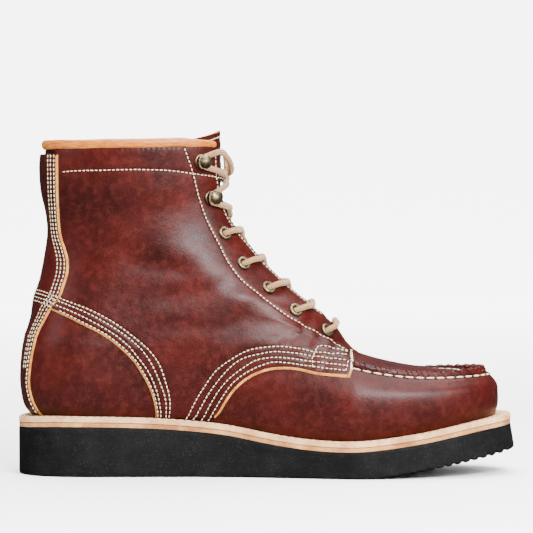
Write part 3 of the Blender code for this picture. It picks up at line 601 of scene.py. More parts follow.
def black_rubber():
    """Expanded rubber wedge whose side was buffed on a belt: charcoal, matt, with fine level
    scratches and small paler specks of dust."""
    material, tree, shader, place = new_finish("black_buffed_rubber")
    drawn = add_node(tree, STRETCH, {"Vector": place, "Scale": (0.06, 0.06, 1)})
    scratches = add_node(tree, NOISE, {
        "Vector": drawn, "Scale": 1 / 0.0008, "Detail": 4.0, "Roughness": 0.7})
    patches = add_node(tree, NOISE, {
        "Vector": place, "Scale": 1 / 0.014, "Detail": 3.0, "Roughness": 0.55})
    specks = add_node(tree, NOISE, {
        "Vector": place, "Scale": 1 / 0.0007, "Detail": 2.0, "Roughness": 0.5})
    buffed = add_node(tree, RANGE, {"Value": scratches, "From Min": 0.38, "From Max": 0.68})
    side = add_node(tree, MIX, {0: buffed, 6: "030304", 7: "0a0a0b"}, data_type="RGBA")
    patchy = add_node(tree, RANGE, {
        "Value": patches, "From Min": 0.45, "From Max": 0.8, "To Max": 0.4})
    worn = add_node(tree, MIX, {0: patchy, 6: side.outputs[COLOUR], 7: "171616"},
                    data_type="RGBA")
    dusty = add_node(tree, RANGE, {
        "Value": specks, "From Min": 0.62, "From Max": 0.76, "To Max": 0.5})
    tone = add_node(tree, MIX, {0: dusty, 6: worn.outputs[COLOUR], 7: "3c3a38"},
                    data_type="RGBA")
    gloss = add_node(tree, RANGE, {
        "Value": scratches, "From Min": 0.3, "From Max": 0.7, "To Min": 0.62, "To Max": 0.82})
    scratched = add_node(tree, BUMP, {
        "Height": scratches, "Distance": 0.00025, "Strength": 0.55})
    grain = add_node(tree, BUMP, {
        "Height": specks, "Distance": 0.0001, "Strength": 0.5, "Normal": scratched})
    set_inputs(tree, shader, {
        "Base Color": tone.outputs[COLOUR], "Roughness": gloss, "Normal": grain,
        "Specular IOR Level": 0.12})
    return material


def board_leather(name, dark, light, fleck, rough):
    """Firm bark tanned sole leather: a matt surface of short fibres, rubbed darker in places."""
    material, tree, shader, place = new_finish(name)
    clouds = add_node(tree, NOISE, {
        "Vector": place, "Scale": 1 / 0.012, "Detail": 3.0, "Roughness": 0.55})
    drawn = add_node(tree, STRETCH, {"Vector": place, "Scale": (0.35, 0.35, 1)})
    fibres = add_node(tree, NOISE, {
        "Vector": drawn, "Scale": 1 / 0.0007, "Detail": 4.0, "Roughness": 0.7})
    cloudy = add_node(tree, RANGE, {"Value": clouds, "From Min": 0.35, "From Max": 0.7})
    base = add_node(tree, MIX, {0: cloudy, 6: dark, 7: light}, data_type="RGBA")
    fibrous = add_node(tree, RANGE, {
        "Value": fibres, "From Min": 0.48, "From Max": 0.75, "To Max": 0.6})
    tone = add_node(tree, MIX, {0: fibrous, 6: base.outputs[COLOUR], 7: fleck},
                    data_type="RGBA")
    nap = add_node(tree, BUMP, {"Height": fibres, "Distance": 0.00022, "Strength": 0.6})
    set_inputs(tree, shader, {
        "Base Color": tone.outputs[COLOUR], "Roughness": rough, "Normal": nap,
        "Specular IOR Level": 0.35})
    return material


def antique_brass():
    """Brass, barrel plated and darkened, then rubbed: olive grey in the hollows, pale on top."""
    material, tree, shader, place = new_finish("antique_brass")
    tarnish = add_node(tree, NOISE, {
        "Vector": place, "Scale": 1 / 0.0022, "Detail": 4.0, "Roughness": 0.6})
    rubbed = add_node(tree, RANGE, {"Value": tarnish, "From Min": 0.36, "From Max": 0.66})
    tone = add_node(tree, MIX, {0: rubbed, 6: "40382a", 7: "8d8163"}, data_type="RGBA")
    gloss = add_node(tree, RANGE, {
        "Value": tarnish, "From Min": 0.3, "From Max": 0.7, "To Min": 0.50, "To Max": 0.36})
    uneven = add_node(tree, BUMP, {"Height": tarnish, "Distance": 0.00008, "Strength": 0.4})
    set_inputs(tree, shader, {
        "Base Color": tone.outputs[COLOUR], "Roughness": gloss, "Normal": uneven,
        "Metallic": 1.0})
    return material


def braided_cord():
    """Waxed polyester bootlace, round braided from sixteen ends, tan with darker flecks, with
    painted shade in the hollows between its strands and lighter raised tops. The piece's map runs
    one unit for each braid repeat along it and once around it."""
    material, tree, shader, place = new_finish("tan_braided_lace")
    wound = add_node(tree, "ShaderNodeUVMap", uv_map="UVMap")
    split = add_node(tree, "ShaderNodeSeparateXYZ", {"Vector": wound}).outputs
    run = add_node(tree, MATH, {0: split["X"], 1: math.tau}, operation="MULTIPLY")
    ends = []
    for lean in (4.0, -4.0):
        turn = add_node(tree, MATH, {0: split["Y"], 1: lean * math.tau}, operation="MULTIPLY")
        phase = add_node(tree, MATH, {0: turn, 1: run}, operation="ADD")
        ends.append(add_node(tree, MATH, {0: phase}, operation="SINE"))
    weave = add_node(tree, MATH, {0: ends[0], 1: ends[1]}, operation="MULTIPLY")
    flecks = add_node(tree, NOISE, {
        "Vector": place, "Scale": 1 / 0.0016, "Detail": 3.0, "Roughness": 0.55})
    flecked = add_node(tree, RANGE, {"Value": flecks, "From Min": 0.4, "From Max": 0.68})
    # Painted shade: the darker flecked colour goes in the hollows between the strands, the paler
    # one on their raised tops
    low = add_node(tree, MIX, {0: flecked, 6: "784e26", 7: "452b13"}, data_type="RGBA")
    painted_hollow_shade_mix = add_node(tree, RANGE, {"Value": weave, "From Min": -0.6, "From Max": 0.8})
    tone = add_node(tree, MIX, {0: painted_hollow_shade_mix, 6: low.outputs[COLOUR], 7: "a57b48"},
                    data_type="RGBA")
    strands = add_node(tree, BUMP, {"Height": weave, "Distance": 0.00022, "Strength": 0.8})
    set_inputs(tree, shader, {
        "Base Color": tone.outputs[COLOUR], "Roughness": 0.66, "Normal": strands,
        "Sheen Weight": 0.2})
    return material


OXBLOOD = oxblood_leather()
RAW_EDGE = cut_leather()
PALE_EDGE = pale_edge()
ROLLED = rolled_leather()
THREAD = waxed_thread()
RUBBER = black_rubber()
WELT_LEATHER = board_leather("pale_welt_leather", "a97a4e", "d2a87c", "7c5434", 0.75)
MIDSOLE_LEATHER = board_leather("tan_midsole_leather", "86532a", "b98550", "4a2a14", 0.78)
LINING = board_leather("natural_lining_leather", "a07a52", "c4a077", "86603c", 0.6)
INSOLE_LEATHER = board_leather("insole_board_leather", "9d7348", "c09467", "7a5532", 0.7)
# Painted shade: dark beads laid in the needle holes stand for the shade inside them
NEEDLE_HOLE_SHADE = board_leather("painted_needle_hole_shade", "241812", "33241a", "120c08", 0.9)
BRASS = antique_brass()
CORD = braided_cord()


def add_mesh(name, points, faces, finishes, stands_for=(), picks=None, unwrap=None):
    """A finished piece in the frame, riding on the boot. Picks is each face's finish, and
    unwrap is the map's place for each point."""
    data = bpy.data.meshes.new(name)
    shifted = np.asarray(points, float) + SHIFT
    data.from_pydata(shifted.tolist(), [], [list(map(int, face)) for face in faces])
    for finish in finishes:
        data.materials.append(finish)
    if picks is not None:
        data.polygons.foreach_set("material_index", np.asarray(picks, np.int32))
    if unwrap is not None:
        layer = data.uv_layers.new(name="UVMap")
        corners = np.zeros(len(data.loops), np.int32)
        data.loops.foreach_get("vertex_index", corners)
        layer.data.foreach_set("uv", np.asarray(unwrap, np.float32)[corners].ravel())
    data.validate()
    data.shade_smooth()
    piece = bpy.data.objects.new(name, data)
    bpy.context.scene.collection.objects.link(piece)
    return settle(piece, stands_for)


def settle(piece, stands_for=()):
    """Sets a piece on the boot and hides the nodes it stands for."""
    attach(piece, "root")
    if stands_for:
        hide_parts(*stands_for)
    return piece


def outward(piece, sharp=50):
    """Merges doubled points, turns the faces of a closed piece out and keeps its hard edges."""
    body = bmesh.new()
    body.from_mesh(piece.data)
    bmesh.ops.remove_doubles(body, verts=body.verts, dist=0.000004)
    bmesh.ops.dissolve_degenerate(body, edges=body.edges, dist=0.000002)
    bmesh.ops.recalc_face_normals(body, faces=body.faces)
    body.to_mesh(piece.data)
    body.free()
    piece.data.set_sharp_from_angle(angle=math.radians(sharp))
    return piece


def grid_faces(rows, columns, offset=0, around=False):
    """Faces of a grid of points, row by row, that may close on itself across its columns."""
    reach = columns if around else columns - 1
    row, column = (g.ravel() for g in np.meshgrid(range(rows - 1), range(reach), indexing="ij"))
    after = (column + 1) % columns
    corners = (row * columns + column, row * columns + after,
               (row + 1) * columns + after, (row + 1) * columns + column)
    return (np.stack(corners, axis=-1) + offset).tolist()


def spaced(points, step):
    """Points at even steps along an open line, in any number of dimensions."""
    points = np.asarray(points, float)
    gaps = np.linalg.norm(np.diff(points, axis=0), axis=1)
    keep = np.concatenate(([True], gaps > 1e-9))
    points = points[keep]
    run = np.concatenate(([0], np.cumsum(np.linalg.norm(np.diff(points, axis=0), axis=1))))
    count = max(int(round(run[-1] / step)), 1)
    at = np.linspace(0, run[-1], count + 1)
    return np.stack([np.interp(at, run, points[:, k]) for k in range(points.shape[1])], axis=-1)


def smooth_line(points, count=12):
    """More points along a smooth line through the given ones."""
    points = np.asarray(points, float)
    at = np.linspace(0, len(points) - 1, (len(points) - 1) * count + 1)
    return weights(range(len(points)), at) @ points


def mirrored(spots, side):
    """The same spots on the side asked for: -1 is lateral and 1 is medial."""
    spots = np.array(spots, float)
    if side > 0:
        spots[..., 0] = 1 - spots[..., 0]
    return spots


def side_line(table, count=6):
    """A line drawn in the side view by a table of shares, laid on the last."""
    return on_side(smooth_line(table, count))


def photo_line(pixels, count=6):
    """A line read off the side view, laid on the last where it really lies in depth."""
    fine = smooth_line(pixels, count)
    half_width = np.full(len(fine), SHAFT_HALF_WIDTH)
    for _ in range(3):
        size = PIXEL * (CAMERA_BACK - half_width) / CAMERA_BACK
        x = SOLE_LENGTH / 2 + CAMERA_SIDE + (fine[:, 0] - MIDDLE_COLUMN) * size
        z = CAMERA_HEIGHT - (fine[:, 1] - EYE_ROW) * size
        places = (x / SOLE_LENGTH, (z - welt_top(0.0)) / SHAFT_HEIGHT)
        spots = on_side(np.stack(places, axis=-1))
        half_width = -last_point(spots[:, 0], spots[:, 1])[:, 1]
    padded = np.concatenate((spots[:1], spots[:1], spots, spots[-1:], spots[-1:]))
    windows = np.stack([padded[k:k + len(spots)] for k in range(5)])
    return np.median(windows, axis=0)


def even(spots, step):
    """The same line on the last, with its places even steps apart along the leather."""
    points = last_point(spots[:, 0], spots[:, 1])
    run = np.concatenate(([0], np.cumsum(np.linalg.norm(np.diff(points, axis=0), axis=1))))
    count = max(int(round(run[-1] / step)), 1)
    at = np.linspace(0, run[-1], count + 1)
    return np.stack([np.interp(at, run, spots[:, k]) for k in (0, 1)], axis=-1)


# Seams and cut edges in the side view: points across and down, in units of PIXEL
EYESTAY_SEAM = (
    (183.4, 147.5), (191.5, 172), (198, 198), (206, 221), (219, 247), (229, 266), (244, 284),
    (263, 299), (284, 315), (304, 327.5), (324, 339), (337, 347.5), (347, 353.6),
)
COLLAR_SEAM = (
    (64, 171.7), (79, 170.5), (102, 170), (125, 169.4), (148, 169.4), (171, 170.5),
    (191.5, 173.4), (209, 176), (222, 179),
)
VAMP_SEAMS = (
    ((346, 357), (314, 353), (290.5, 348), (272, 347), (250, 350), (234, 358), (217, 370),
     (205, 386), (195, 402), (186, 420)),
    ((346, 362), (318, 357.5), (280, 352), (261, 354), (240, 360), (224, 374), (210, 392),
     (201, 407), (193, 421)),
    ((346, 367), (318, 363), (280, 358), (258, 360), (245, 367), (229, 379), (218, 392),
     (209, 407), (201.5, 421)),
    ((346, 372), (318, 368), (280, 362.5), (264, 365), (248, 372), (233, 383), (222, 398),
     (214, 411), (208, 421)),
)
COUNTER_SEAMS = (
    ((38.8, 290.5), (52, 295), (69, 302), (88.6, 309.5), (111, 321), (131, 335), (147.5, 349),
     (159, 364), (166, 384), (170, 401), (169, 418)),
    ((38, 293), (62, 302.5), (88.6, 314), (111, 326), (131, 340), (145, 354), (154.5, 370),
     (161.6, 387), (166, 402), (166, 418)),
    ((36.7, 298), (58, 306), (83, 317), (108, 330.5), (125, 343), (139, 359), (149, 373),
     (156, 389.5), (160, 406), (161, 418)),
    ((60, 311), (80, 321), (105, 334), (122, 347), (135, 360), (146, 377),
     (153, 392), (157, 406), (158, 418)),
)
COUNTER_CUT = (
    (47, 308), (58.8, 313.3), (78.8, 323.2), (103.5, 336), (120.3, 348.9), (133, 361.7),
    (143.8, 378.2), (150.6, 392.8), (154.5, 406.4), (155.5, 419.5),
)
HEEL_CROSSINGS = (
    ((38.6, 290.9), (47, 293), (56, 296.6), (61, 299)),
    ((38.0, 294), (46, 296.2), (54, 299.2), (59, 301.6)),
    ((37.4, 297.5), (45, 299.8), (52, 302.6), (57, 305.2)),
    ((36.6, 301), (43, 303), (49, 305.6), (54, 308.4)),
)
FLAP_BOX = (
    ((313, 369), (312.5, 358), (315, 350), (320, 347.5), (334, 350), (347, 354)),
    ((349, 352), (349, 358), (347.5, 366), (345.5, 373)),
)
# Rows of the backstay, in millimetres in from its cut edge
BACKSTAY_SEAMS = (2.3, 5.0, 7.7)


def spine(low, high):
    """Levels, close together between the two and wider apart towards the welt and collar."""
    steps = [np.arange(0, low, 0.16), np.arange(low, high, 0.045), np.arange(high, 17, 0.16), [17]]
    return np.unique(np.round(np.concatenate(steps), 4))


# Run of the moc seam round the toe, as a length for each place around
SEAM_AROUND = np.linspace(-0.25, 0.25, 1200)
SEAM_LINE = last_point(SEAM_AROUND, float(SEAM_LEVEL))
SEAM_RUN = np.concatenate(
    ([0], np.cumsum(np.linalg.norm(np.diff(SEAM_LINE, axis=0), axis=1))))

# The moc seam's ridge, and the two sunk lines of thread beside it
RIDGE_WIDTH = 0.0020
RIDGE_HEIGHT = 0.0024
RIDGE_MIDDLE = 0.0004
MEDIAL_LOSS = 0.0012
GROOVE_BELOW = 0.0030
GROOVE_ABOVE = 0.0035
GROOVE_WIDTH = 0.0007
GROOVE_DEPTH = 0.00045
FOLD_HEIGHT = 0.00022
THREAD_BELOW = -0.0029
THREAD_ABOVE = 0.0031


def moc_seam(around, level, point):
    """Height of the puckered seam: two edges gathered up together, with small folds below."""
    folded = (np.asarray(around) + 0.5) % 1.0 - 0.5
    run = np.interp(folded, SEAM_AROUND, SEAM_RUN)
    base = last_point(around, float(SEAM_LEVEL))
    off = np.linalg.norm(point - base, axis=-1) * np.sign(level - SEAM_LEVEL)
    place = point[..., 0] / SOLE_LENGTH
    ahead = ease((place - 0.655) / 0.02)
    turn = math.tau * run / SEAM_STITCH
    pucker = 0.80 + 0.14 * np.cos(turn) + 0.10 * np.cos(2 * turn + 1.3 * np.sin(turn * 0.37))
    pucker += 0.06 * np.sin(turn * 3.3 + 5 * off / 0.002)
    width = RIDGE_WIDTH + 0.0002 * np.cos(2 * turn + 0.8)
    medial = (np.asarray(around) % 1.0 > 0.5) * (1 - ease((place - 0.80) / 0.07))
    tall = RIDGE_HEIGHT - MEDIAL_LOSS * medial
    ridge = tall * np.exp(-np.abs((off - RIDGE_MIDDLE) / width) ** 2.6) * pucker
    groove = -GROOVE_DEPTH * (np.exp(-((off + GROOVE_BELOW) / GROOVE_WIDTH) ** 2)
                              + 0.7 * np.exp(-((off - GROOVE_ABOVE) / GROOVE_WIDTH) ** 2))
    below = np.exp(-np.maximum(-off - 0.002, 0) / 0.0045) * (off < -0.0015)
    above = np.exp(-np.maximum(off - 0.002, 0) / 0.0030) * (off > 0.0015)
    folds = FOLD_HEIGHT * np.cos(turn + 0.6) * (below + 0.8 * above)
    return (ridge + groove + folds) * ahead


def upper_skin(around, level, inside=False):
    """Points of the upper's outside, with its seam, creases and crown, or of its lining."""
    point = last_point(around, level)
    normal = last_normal(around, level)
    if inside:
        return point - normal * LEATHER
    share = point[..., 0] / SOLE_LENGTH
    crown = 0.0012 * np.exp(-((share - 0.80) / 0.07) ** 2) * ease((level - 6.6) / 1.6)
    lift = moc_seam(around, level, point) - crease(point) + crown
    return point + normal * lift[..., None]


def build_upper():
    """The vamp, apron and counter as one leather wall with its natural lining inside."""
    levels = spine(5.0, 7.1)
    columns = 331
    front = 13
    share = np.linspace(0, 1, columns)
    edge = facing_edge(levels)
    around = edge[:, None] + (1 - 2 * edge[:, None]) * share
    level = np.broadcast_to(levels[:, None], around.shape)
    closed = int(np.sum(levels <= THROAT_LEVEL))
    middle = -edge[:closed, None] + 2 * edge[:closed, None] * np.linspace(0, 1, front + 1)
    middle_level = np.broadcast_to(levels[:closed, None], middle.shape)
    points, faces, picks = [], [], []
    rims = []
    for inside in (False, True):
        offset = sum(map(len, points))
        rows = len(levels)
        points.append(upper_skin(around, level, inside).reshape(-1, 3))
        grid = grid_faces(rows, columns, offset)
        patch_offset = offset + rows * columns
        points.append(upper_skin(middle, middle_level, inside).reshape(-1, 3))
        grid += grid_faces(closed, front + 1, patch_offset)
        faces += [face[::-1] for face in grid] if inside else grid
        picks += [1 if inside else 0] * len(grid)
        foot = [offset + k for k in range(columns)] + [
            patch_offset + k for k in range(1, front + 1)]
        right = [offset + r * columns for r in range(closed - 1, rows)]
        left = [offset + r * columns + columns - 1 for r in range(closed - 1, rows)]
        top = [offset + (rows - 1) * columns + k for k in range(columns)]
        throat = [patch_offset + (closed - 1) * (front + 1) + k for k in range(front + 1)]
        rims.append((foot, right, left, top, throat))
    for outer, inner in zip(*rims):
        for k in range(len(outer) - 1):
            faces.append([outer[k], outer[k + 1], inner[k + 1], inner[k]])
            picks.append(2)
    piece = add_mesh("upper_leather", np.concatenate(points), faces,
                     (OXBLOOD, LINING, RAW_EDGE), ("upper",), picks)
    outward(piece)


def inside_loop(points, loop):
    """Which points lie inside a closed flat outline."""
    x, y = points[:, None, 0], points[:, None, 1]
    ax, ay = loop[None, :, 0], loop[None, :, 1]
    bx, by = np.roll(ax, -1, axis=1), np.roll(ay, -1, axis=1)
    rise = np.where(np.abs(by - ay) < 1e-12, 1e-12, by - ay)
    crossed = ((ay > y) != (by > y)) & (x < (bx - ax) * (y - ay) / rise + ax)
    return np.sum(crossed, axis=1) % 2 == 1


# Metres of leather for one turn around and for one level, which lay a panel out nearly flat
FLAT = np.array((0.62, 0.0104))

# How far a panel's leather sinks at its cut edge and under a row of thread, and how wide
EDGE_SINK = 0.0005
EDGE_ROUND = 0.0011
THREAD_SINK = 0.00028
THREAD_REACH = 0.0009
ROW_GRAIN = 0.0009


def shifted_in(spots, distance):
    """The outline moved in over the leather by each place's distance, in metres."""
    here = last_point(spots[:, 0], spots[:, 1])
    tangent = unit(np.roll(here, -1, axis=0) - np.roll(here, 1, axis=0))
    normal = last_normal(spots[:, 0], spots[:, 1])
    step = 1e-4
    turn = (last_point(spots[:, 0] + step, spots[:, 1]) - here) / step
    climb = (last_point(spots[:, 0], spots[:, 1] + step) - here) / step
    jacobian = np.stack((turn, climb), axis=-1)
    inward = np.cross(normal, tangent) * distance[:, None]
    delta = np.einsum("nij,nj->ni", np.linalg.pinv(jacobian), inward)
    found = []
    for sign in (1, -1):
        loop = (spots + sign * delta) * FLAT
        area = np.sum(loop[:, 0] * np.roll(loop[:, 1], -1) - loop[:, 1] * np.roll(loop[:, 0], -1))
        found.append((abs(area), sign))
    return spots + min(found)[1] * delta


def cut_panel(name, edges, base, face, node, rows=(), grain=0.00125):
    """A leather panel laid on the last. Each edge is a line, how far its cut slants in, and
    its finish. Base and face give the heights of its two sides, and rows press into it."""
    outline, slant, finish = [], [], []
    for line, width, pick in edges:
        fine = even(np.asarray(line, float), grain)[:-1]
        outline.append(fine)
        slant += [width] * len(fine)
        finish += [pick] * len(fine)
    outline = np.concatenate(outline)
    slant = np.array(slant)
    slant = (np.roll(slant, 1) + 2 * slant + np.roll(slant, -1)) / 4
    inner = shifted_in(outline, slant)
    loop = inner * FLAT
    low, high = loop.min(axis=0), loop.max(axis=0)
    across = np.arange(low[0], high[0], grain)
    up = np.arange(low[1], high[1], grain * 0.87)
    grid = np.stack(np.meshgrid(across, up), axis=-1)
    grid[1::2, :, 0] += grain / 2
    grid = grid.reshape(-1, 2)
    grid = grid[inside_loop(grid, loop)]
    gap = np.min(np.linalg.norm(grid[:, None, :] - loop[None, ::2, :], axis=-1), axis=1)
    grid = grid[gap > 0.7 * grain]
    given = np.concatenate((loop, grid))
    count = len(loop)
    ring = [(k, (k + 1) % count) for k in range(count)]
    made = delaunay_2d_cdt([Vector(p) for p in given], ring, [], 1, 1e-7)
    spots = np.array([tuple(v) for v in made[0]]) / FLAT
    origin = {}
    for index, sources in enumerate(made[3]):
        for source in sources:
            origin[source] = index
    rim = [origin[k] for k in range(count)]
    normal = last_normal(spots[:, 0], spots[:, 1])
    point = last_point(spots[:, 0], spots[:, 1])
    border = last_point(inner[:, 0], inner[:, 1])
    near = np.concatenate([
        np.min(np.linalg.norm(part[:, None] - border[None, ::2], axis=-1), axis=1)
        for part in np.array_split(point, 12)])
    lift = face(spots) - EDGE_SINK * np.exp(-near / EDGE_ROUND) - crease(point)
    if len(rows):
        thread = np.concatenate([last_point(r[:, 0], r[:, 1]) for r in rows])
        close = np.concatenate([
            np.min(np.linalg.norm(part[:, None] - thread[None], axis=-1), axis=1)
            for part in np.array_split(point, 24)])
        lift = lift - THREAD_SINK * np.exp(-(close / THREAD_REACH) ** 2)
    top = point + normal * lift[:, None]
    under = point + normal * (base(spots) - crease(point))[:, None]
    cut_normal = last_normal(outline[:, 0], outline[:, 1])
    cut = last_point(outline[:, 0], outline[:, 1])
    sunk = crease(cut)
    foot = cut + cut_normal * (base(outline) - sunk)[:, None]
    shoulder_spots = shifted_in(outline, slant * 0.25)
    shoulder_normal = last_normal(shoulder_spots[:, 0], shoulder_spots[:, 1])
    shoulder_height = base(outline) * 0.45 + (face(outline) - EDGE_SINK) * 0.55 - sunk
    shoulder = last_point(shoulder_spots[:, 0], shoulder_spots[:, 1])
    shoulder = shoulder + shoulder_normal * shoulder_height[:, None]
    total = len(spots)
    faces = [list(f) for f in made[2]]
    picks = [0] * len(faces)
    faces += [[v + total for v in f][::-1] for f in made[2]]
    picks += [0] * len(made[2])
    for k in range(count):
        after = (k + 1) % count
        rings = ((rim[k], rim[after]), (2 * total + k, 2 * total + after),
                 (2 * total + count + k, 2 * total + count + after),
                 (total + rim[k], total + rim[after]))
        for (a, b), (c, d) in zip(rings, rings[1:]):
            faces.append([a, b, d, c])
            picks.append(finish[k])
    points = np.concatenate((top, under, shoulder, foot))
    piece = add_mesh(name, points, faces, (OXBLOOD, RAW_EDGE, PALE_EDGE), (node,), picks)
    return outward(piece)


def stitch_tree():
    """Nodes that lay one stitch at each point of the rows, along the row."""
    tree = bpy.data.node_groups.new("stitch_rows", "GeometryNodeTree")
    tree.interface.new_socket("Rows", in_out="INPUT", socket_type="NodeSocketGeometry")
    for name in ("Length", "Thickness"):
        tree.interface.new_socket(name, in_out="INPUT", socket_type="NodeSocketFloat")
    tree.interface.new_socket("Finish", in_out="INPUT", socket_type="NodeSocketMaterial")
    tree.interface.new_socket("Stitches", in_out="OUTPUT", socket_type="NodeSocketGeometry")
    given = add_node(tree, "NodeGroupInput").outputs
    rod = add_node(tree, "GeometryNodeMeshCylinder",
                   {"Vertices": 6, "Side Segments": 5, "Radius": 0.5, "Depth": 1.0})
    split = add_node(tree, "ShaderNodeSeparateXYZ",
                     {0: add_node(tree, "GeometryNodeInputPosition")}).outputs
    end = add_node(tree, MATH, {0: split["Z"]}, operation="ABSOLUTE")
    share = add_node(tree, MATH, {0: end, 1: 2.0}, operation="MULTIPLY")
    taper = add_node(tree, MATH, {0: share, 1: 4.0}, operation="POWER")
    lost = add_node(tree, MATH, {0: taper, 1: 0.62}, operation="MULTIPLY")
    thick = add_node(tree, MATH, {0: 1.0, 1: lost}, operation="SUBTRACT")
    across = [add_node(tree, MATH, {0: split[axis], 1: thick}, operation="MULTIPLY")
              for axis in "XY"]
    placed = add_node(tree, "ShaderNodeCombineXYZ",
                      {"X": across[0], "Y": across[1], "Z": split["Z"]})
    bead = add_node(tree, "GeometryNodeSetPosition", {"Geometry": rod, "Position": placed})
    dots = add_node(tree, "GeometryNodeCurveToPoints", {"Curve": given["Rows"]}, mode="EVALUATED")
    size = add_node(tree, "ShaderNodeCombineXYZ", {
        "X": given["Thickness"], "Y": given["Thickness"], "Z": given["Length"]})
    laid = add_node(tree, "GeometryNodeInstanceOnPoints", {
        "Points": dots.outputs["Points"], "Instance": bead,
        "Rotation": dots.outputs["Rotation"], "Scale": size})
    real = add_node(tree, "GeometryNodeRealizeInstances", {"Geometry": laid})
    finish = add_node(tree, "GeometryNodeSetMaterial",
                      {"Geometry": real, "Material": given["Finish"]})
    add_node(tree, "NodeGroupOutput", {"Stitches": finish})
    return tree


STITCHES = stitch_tree()


def sew(name, rows, length, thickness, finish):
    """One piece of stitches: rows are lines of points, one for each stitch's middle."""
    curve = bpy.data.curves.new(name, "CURVE")
    curve.dimensions = "3D"
    for row in rows:
        spline = curve.splines.new("POLY")
        spline.points.add(len(row) - 1)
        for dot, place in zip(spline.points, np.asarray(row) + SHIFT):
            dot.co = (*place, 1)
    holder = bpy.data.objects.new(name + "_rows", curve)
    bpy.context.scene.collection.objects.link(holder)
    nodes = holder.modifiers.new("stitches", "NODES")
    nodes.node_group = STITCHES
    sockets = {item.name: item.identifier for item in STITCHES.interface.items_tree}
    nodes[sockets["Length"]] = length
    nodes[sockets["Thickness"]] = thickness
    nodes[sockets["Finish"]] = finish
    bpy.context.view_layer.update()
    graph = bpy.context.evaluated_depsgraph_get()
    data = bpy.data.meshes.new_from_object(holder.evaluated_get(graph))
    bpy.data.objects.remove(holder)
    data.name = name
    data.shade_smooth()
    piece = bpy.data.objects.new(name, data)
    bpy.context.scene.collection.objects.link(piece)
    return settle(piece)


def seat_row(spots, face):
    """The middles of a row's stitches and of the holes between them, on a panel's face."""
    fine = even(spots, STITCH_PITCH)
    between = (fine[1:] + fine[:-1]) / 2
    return [leather_point(s[:, 0], s[:, 1], face(s)) for s in (between, fine)]


def quarter_base(spots):
    return np.full(len(spots), CLEAR / 2)


def quarter_face(spots):
    return np.full(len(spots), QUARTER_FACE)


def build_quarters():
    """The two side panels, with their raw lower edges and all their rows of stitching."""
    levels = np.linspace(7.0, 12.0, 400)
    edge = facing_edge(levels)
    flap_top = levels[np.argmin(np.abs(last_point(edge, levels)[:, 0] - FLAP_TOP * SOLE_LENGTH))]
    behind = [(place - UNDER_BACKSTAY, rise) for place, rise in BACKSTAY_EDGE if rise > 0.44]
    rear = side_line(behind)
    rear = np.concatenate(([[rear[0, 0], COLLAR_LEVEL]], rear[rear[:, 1] < COLLAR_LEVEL - 0.1]))
    counter = photo_line(COUNTER_CUT)
    vamp = side_line(QUARTER_EDGE)
    facing_levels = np.linspace(flap_top, COLLAR_LEVEL, 60)
    facing = np.stack((facing_edge(facing_levels), facing_levels), axis=-1)
    corner = last_point(*vamp[-1])
    across = np.linspace(0, 1, 16)[1:]
    ahead = FLAP_FRONT - 0.0015 * (1 - across) - 0.020 * np.maximum(across - 0.62, 0) ** 2 / 0.144
    rim = facing[0]
    y = corner[1] + (last_point(*rim)[1] - corner[1]) * across
    flap = on_top(np.stack((ahead * SOLE_LENGTH, y), axis=-1))
    flap[-1] = rim
    edges = (
        (rear, 0.0004, 0), (np.stack((rear[-1], counter[0])), 0.0004, 0),
        (counter, 0.0011, 1), (np.stack((counter[-1], vamp[0])), 0.0003, 0),
        (vamp, 0.0014, 1), (np.stack((vamp[-1], flap[0])), 0.0013, 1),
        (flap, 0.0013, 2), (facing, 0.0007, 0),
        (np.stack((facing[-1], rear[0])), 0.0003, 0),
    )
    rows = [photo_line(row) for row in (EYESTAY_SEAM, COLLAR_SEAM)]
    rows += [photo_line(row) for row in VAMP_SEAMS]
    rows += [photo_line(row) for row in COUNTER_SEAMS]
    rows += [photo_line(row) for row in FLAP_BOX]
    inside = np.linspace(flap_top + 0.35, COLLAR_LEVEL - 0.35, 90)
    beside = around_at(inside, gap_half(inside) + FACING_SEAM_INSET)
    rows.append(np.stack((beside, inside), axis=-1))
    rows = [np.clip(row, (0, 0.12), (1, COLLAR_LEVEL)) for row in rows]
    threads, holes = [], []
    for side, word in ((-1, "lateral"), (1, "medial")):
        turned = [(mirrored(line, side), width, pick) for line, width, pick in edges]
        pressed = [mirrored(row, side) for row in rows]
        cut_panel(f"quarter_{word}_panel", turned,
                  quarter_base, quarter_face, f"quarter_{word}",
                  [even(r, ROW_GRAIN) for r in pressed])
        for row in pressed:
            stitches, gaps = seat_row(row, quarter_face)
            threads.append(stitches)
            holes.append(gaps)
    sew("quarter_stitching", threads, STITCH_LENGTH, STITCH_THICKNESS, THREAD)
    # The hole beads carry painted shade
    sew("quarter_stitch_holes", holes, HOLE_LENGTH, STITCH_THICKNESS, NEEDLE_HOLE_SHADE)


def backstay_base(spots):
    """The strip lies on the quarters above the counter and on the counter below it."""
    height = last_point(spots[:, 0], spots[:, 1])[:, 2] - welt_top(0.0)
    return 0.0002 + 0.0016 * ease((height / SHAFT_HEIGHT - 0.36) / 0.10)


def backstay_face(spots):
    return backstay_base(spots) + BACKSTAY_LEATHER


